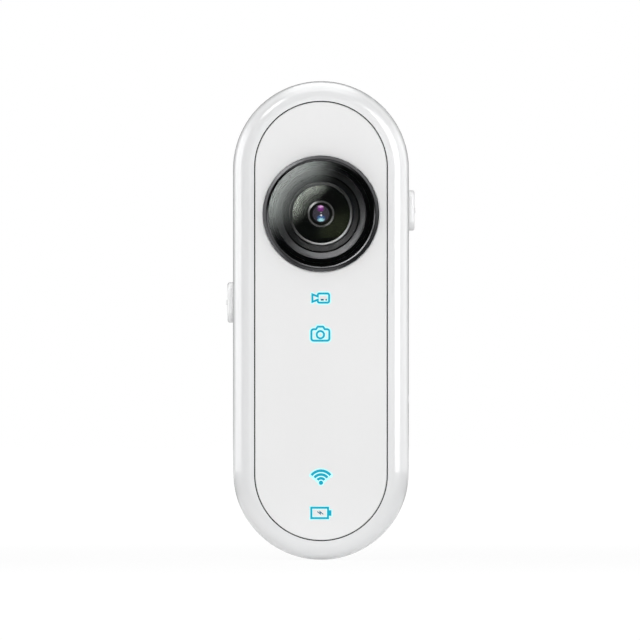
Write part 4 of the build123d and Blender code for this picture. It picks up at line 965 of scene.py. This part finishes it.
white_pieces = nodes("front_housing", "rear_cover", "front_panel", "left_button", "right_button", "port_door")
panel_pieces = nodes("front_panel") + prints
hood_pieces = nodes("lens_hood")
bezel_pieces = nodes("lens_bezel")
other_pieces = [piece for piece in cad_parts.values() if piece not in panel_pieces + hood_pieces]
other_pieces.append(make_floor())
make_world()
front_place, front_size = (0, -1.3, 0.05), (0.5, 0.5)
soft_box("front_box", front_place, front_size, 9.8, lights=other_pieces)
soft_box("panel_box", front_place, front_size, 11.9, lights=panel_pieces)
soft_box("hood_box", front_place, front_size, 3.0, lights=hood_pieces)
soft_box("left_box", (-0.62, -0.2, 0.16), (0.5, 0.7), 0.4, lights=other_pieces)
soft_box("right_box", (0.6, -0.15, 0.1), (0.4, 0.6), 0.6, lights=other_pieces)
soft_box("top_box", (-0.1, -0.4, 0.7), (0.6, 0.4), 1.0, lights=other_pieces)
soft_box("left_back_box", (-0.85, 0.5, 0.2), (0.5, 0.7), 3.0)
soft_box("right_back_box", (0.85, 0.5, 0.2), (0.5, 0.7), 3.0)
screen("left_screen", -94, 0, (1.2, 1.6), 2.3, soft=(0.3, 0.04, 0.3, 0.3), mirrors=white_pieces)
screen("left_strip", -71, 0, (0.36, 1.6), 2.5, soft=(0.6, 0.1, 0.3, 0.3), mirrors=white_pieces)
screen("right_screen", 88, 0, (1.8, 1.6), 2.4, mirrors=white_pieces)
screen("right_strip", 37, 0, (0.72, 1.6), 8.0, soft=(0.12, 0.12, 0.3, 0.3), mirrors=white_pieces)
screen("top_screen", 0, 92, (1.2, 2.1), 2.9, soft=(0.3, 0.3, 0.25, 0.15), mirrors=white_pieces)
screen("corner_screen", -38, 39, (0.36, 0.36), 8.0, mirrors=white_pieces)
screen("bezel_screen", -90, 50, (1.3, 1.3), 7.0, soft=(0.4, 0.4, 0.4, 0.4), mirrors=bezel_pieces)
screen("bezel_left", -90, 0, (0.5, 0.9), 2.5, mirrors=bezel_pieces)
screen("bezel_right", 90, 0, (0.5, 1.6), 2.5, mirrors=bezel_pieces)
screen("bezel_top", 0, 90, (1.2, 0.5), 2.5, mirrors=bezel_pieces)
crescent("bezel_light", 0.03, reach=3.0, ring=(1.2, 1.7), bearing=125, side=(-1.8, 0.2), strength=0.9,
         mirrors=bezel_pieces)
crescent("hood_light", 0.036, reach=3.0, ring=(0.1, 0.7), bearing=113, side=(0.2, 1.0), strength=4.5,
         mirrors=hood_pieces)
window("lens_window", 0.05, reach=2.2, strength=4.7, mirrors=nodes("front_lens"))
crescent("lens_sheen", 0.055, reach=1.3, ring=(0.1, 0.6), bearing=-45, side=(0.2, 1.0), strength=0.22,
         mirrors=nodes("front_lens"), colour=(0.9, 1, 0.55))
crescent("cover_light", 0.18, reach=0.5, ring=(0.09, 0.33), bearing=139, side=(0.15, 1.0), strength=3.1,
         mirrors=nodes("cover_glass"))

# The viewer's camera stands straight in front, far off with a long lens, as for a catalogue picture.

view_distance = 2.4
view_right, view_up = -0.15 * MM, 0.07 * MM
picture_height = 98.4 * MM
sensor_width = 36.0
lens_data = bpy.data.cameras.new("viewer")
lens_data.sensor_width = sensor_width
lens_data.lens = sensor_width * view_distance / picture_height
viewer = bpy.data.objects.new("viewer", lens_data)
viewer.location = (body_middle.x + view_right, body_middle.y - view_distance, body_middle.z + view_up)
viewer.rotation_euler = (math.pi / 2, 0, 0)
bpy.context.scene.collection.objects.link(viewer)
bpy.context.scene.camera = viewer
bpy.context.scene.view_settings.view_transform = "Standard"
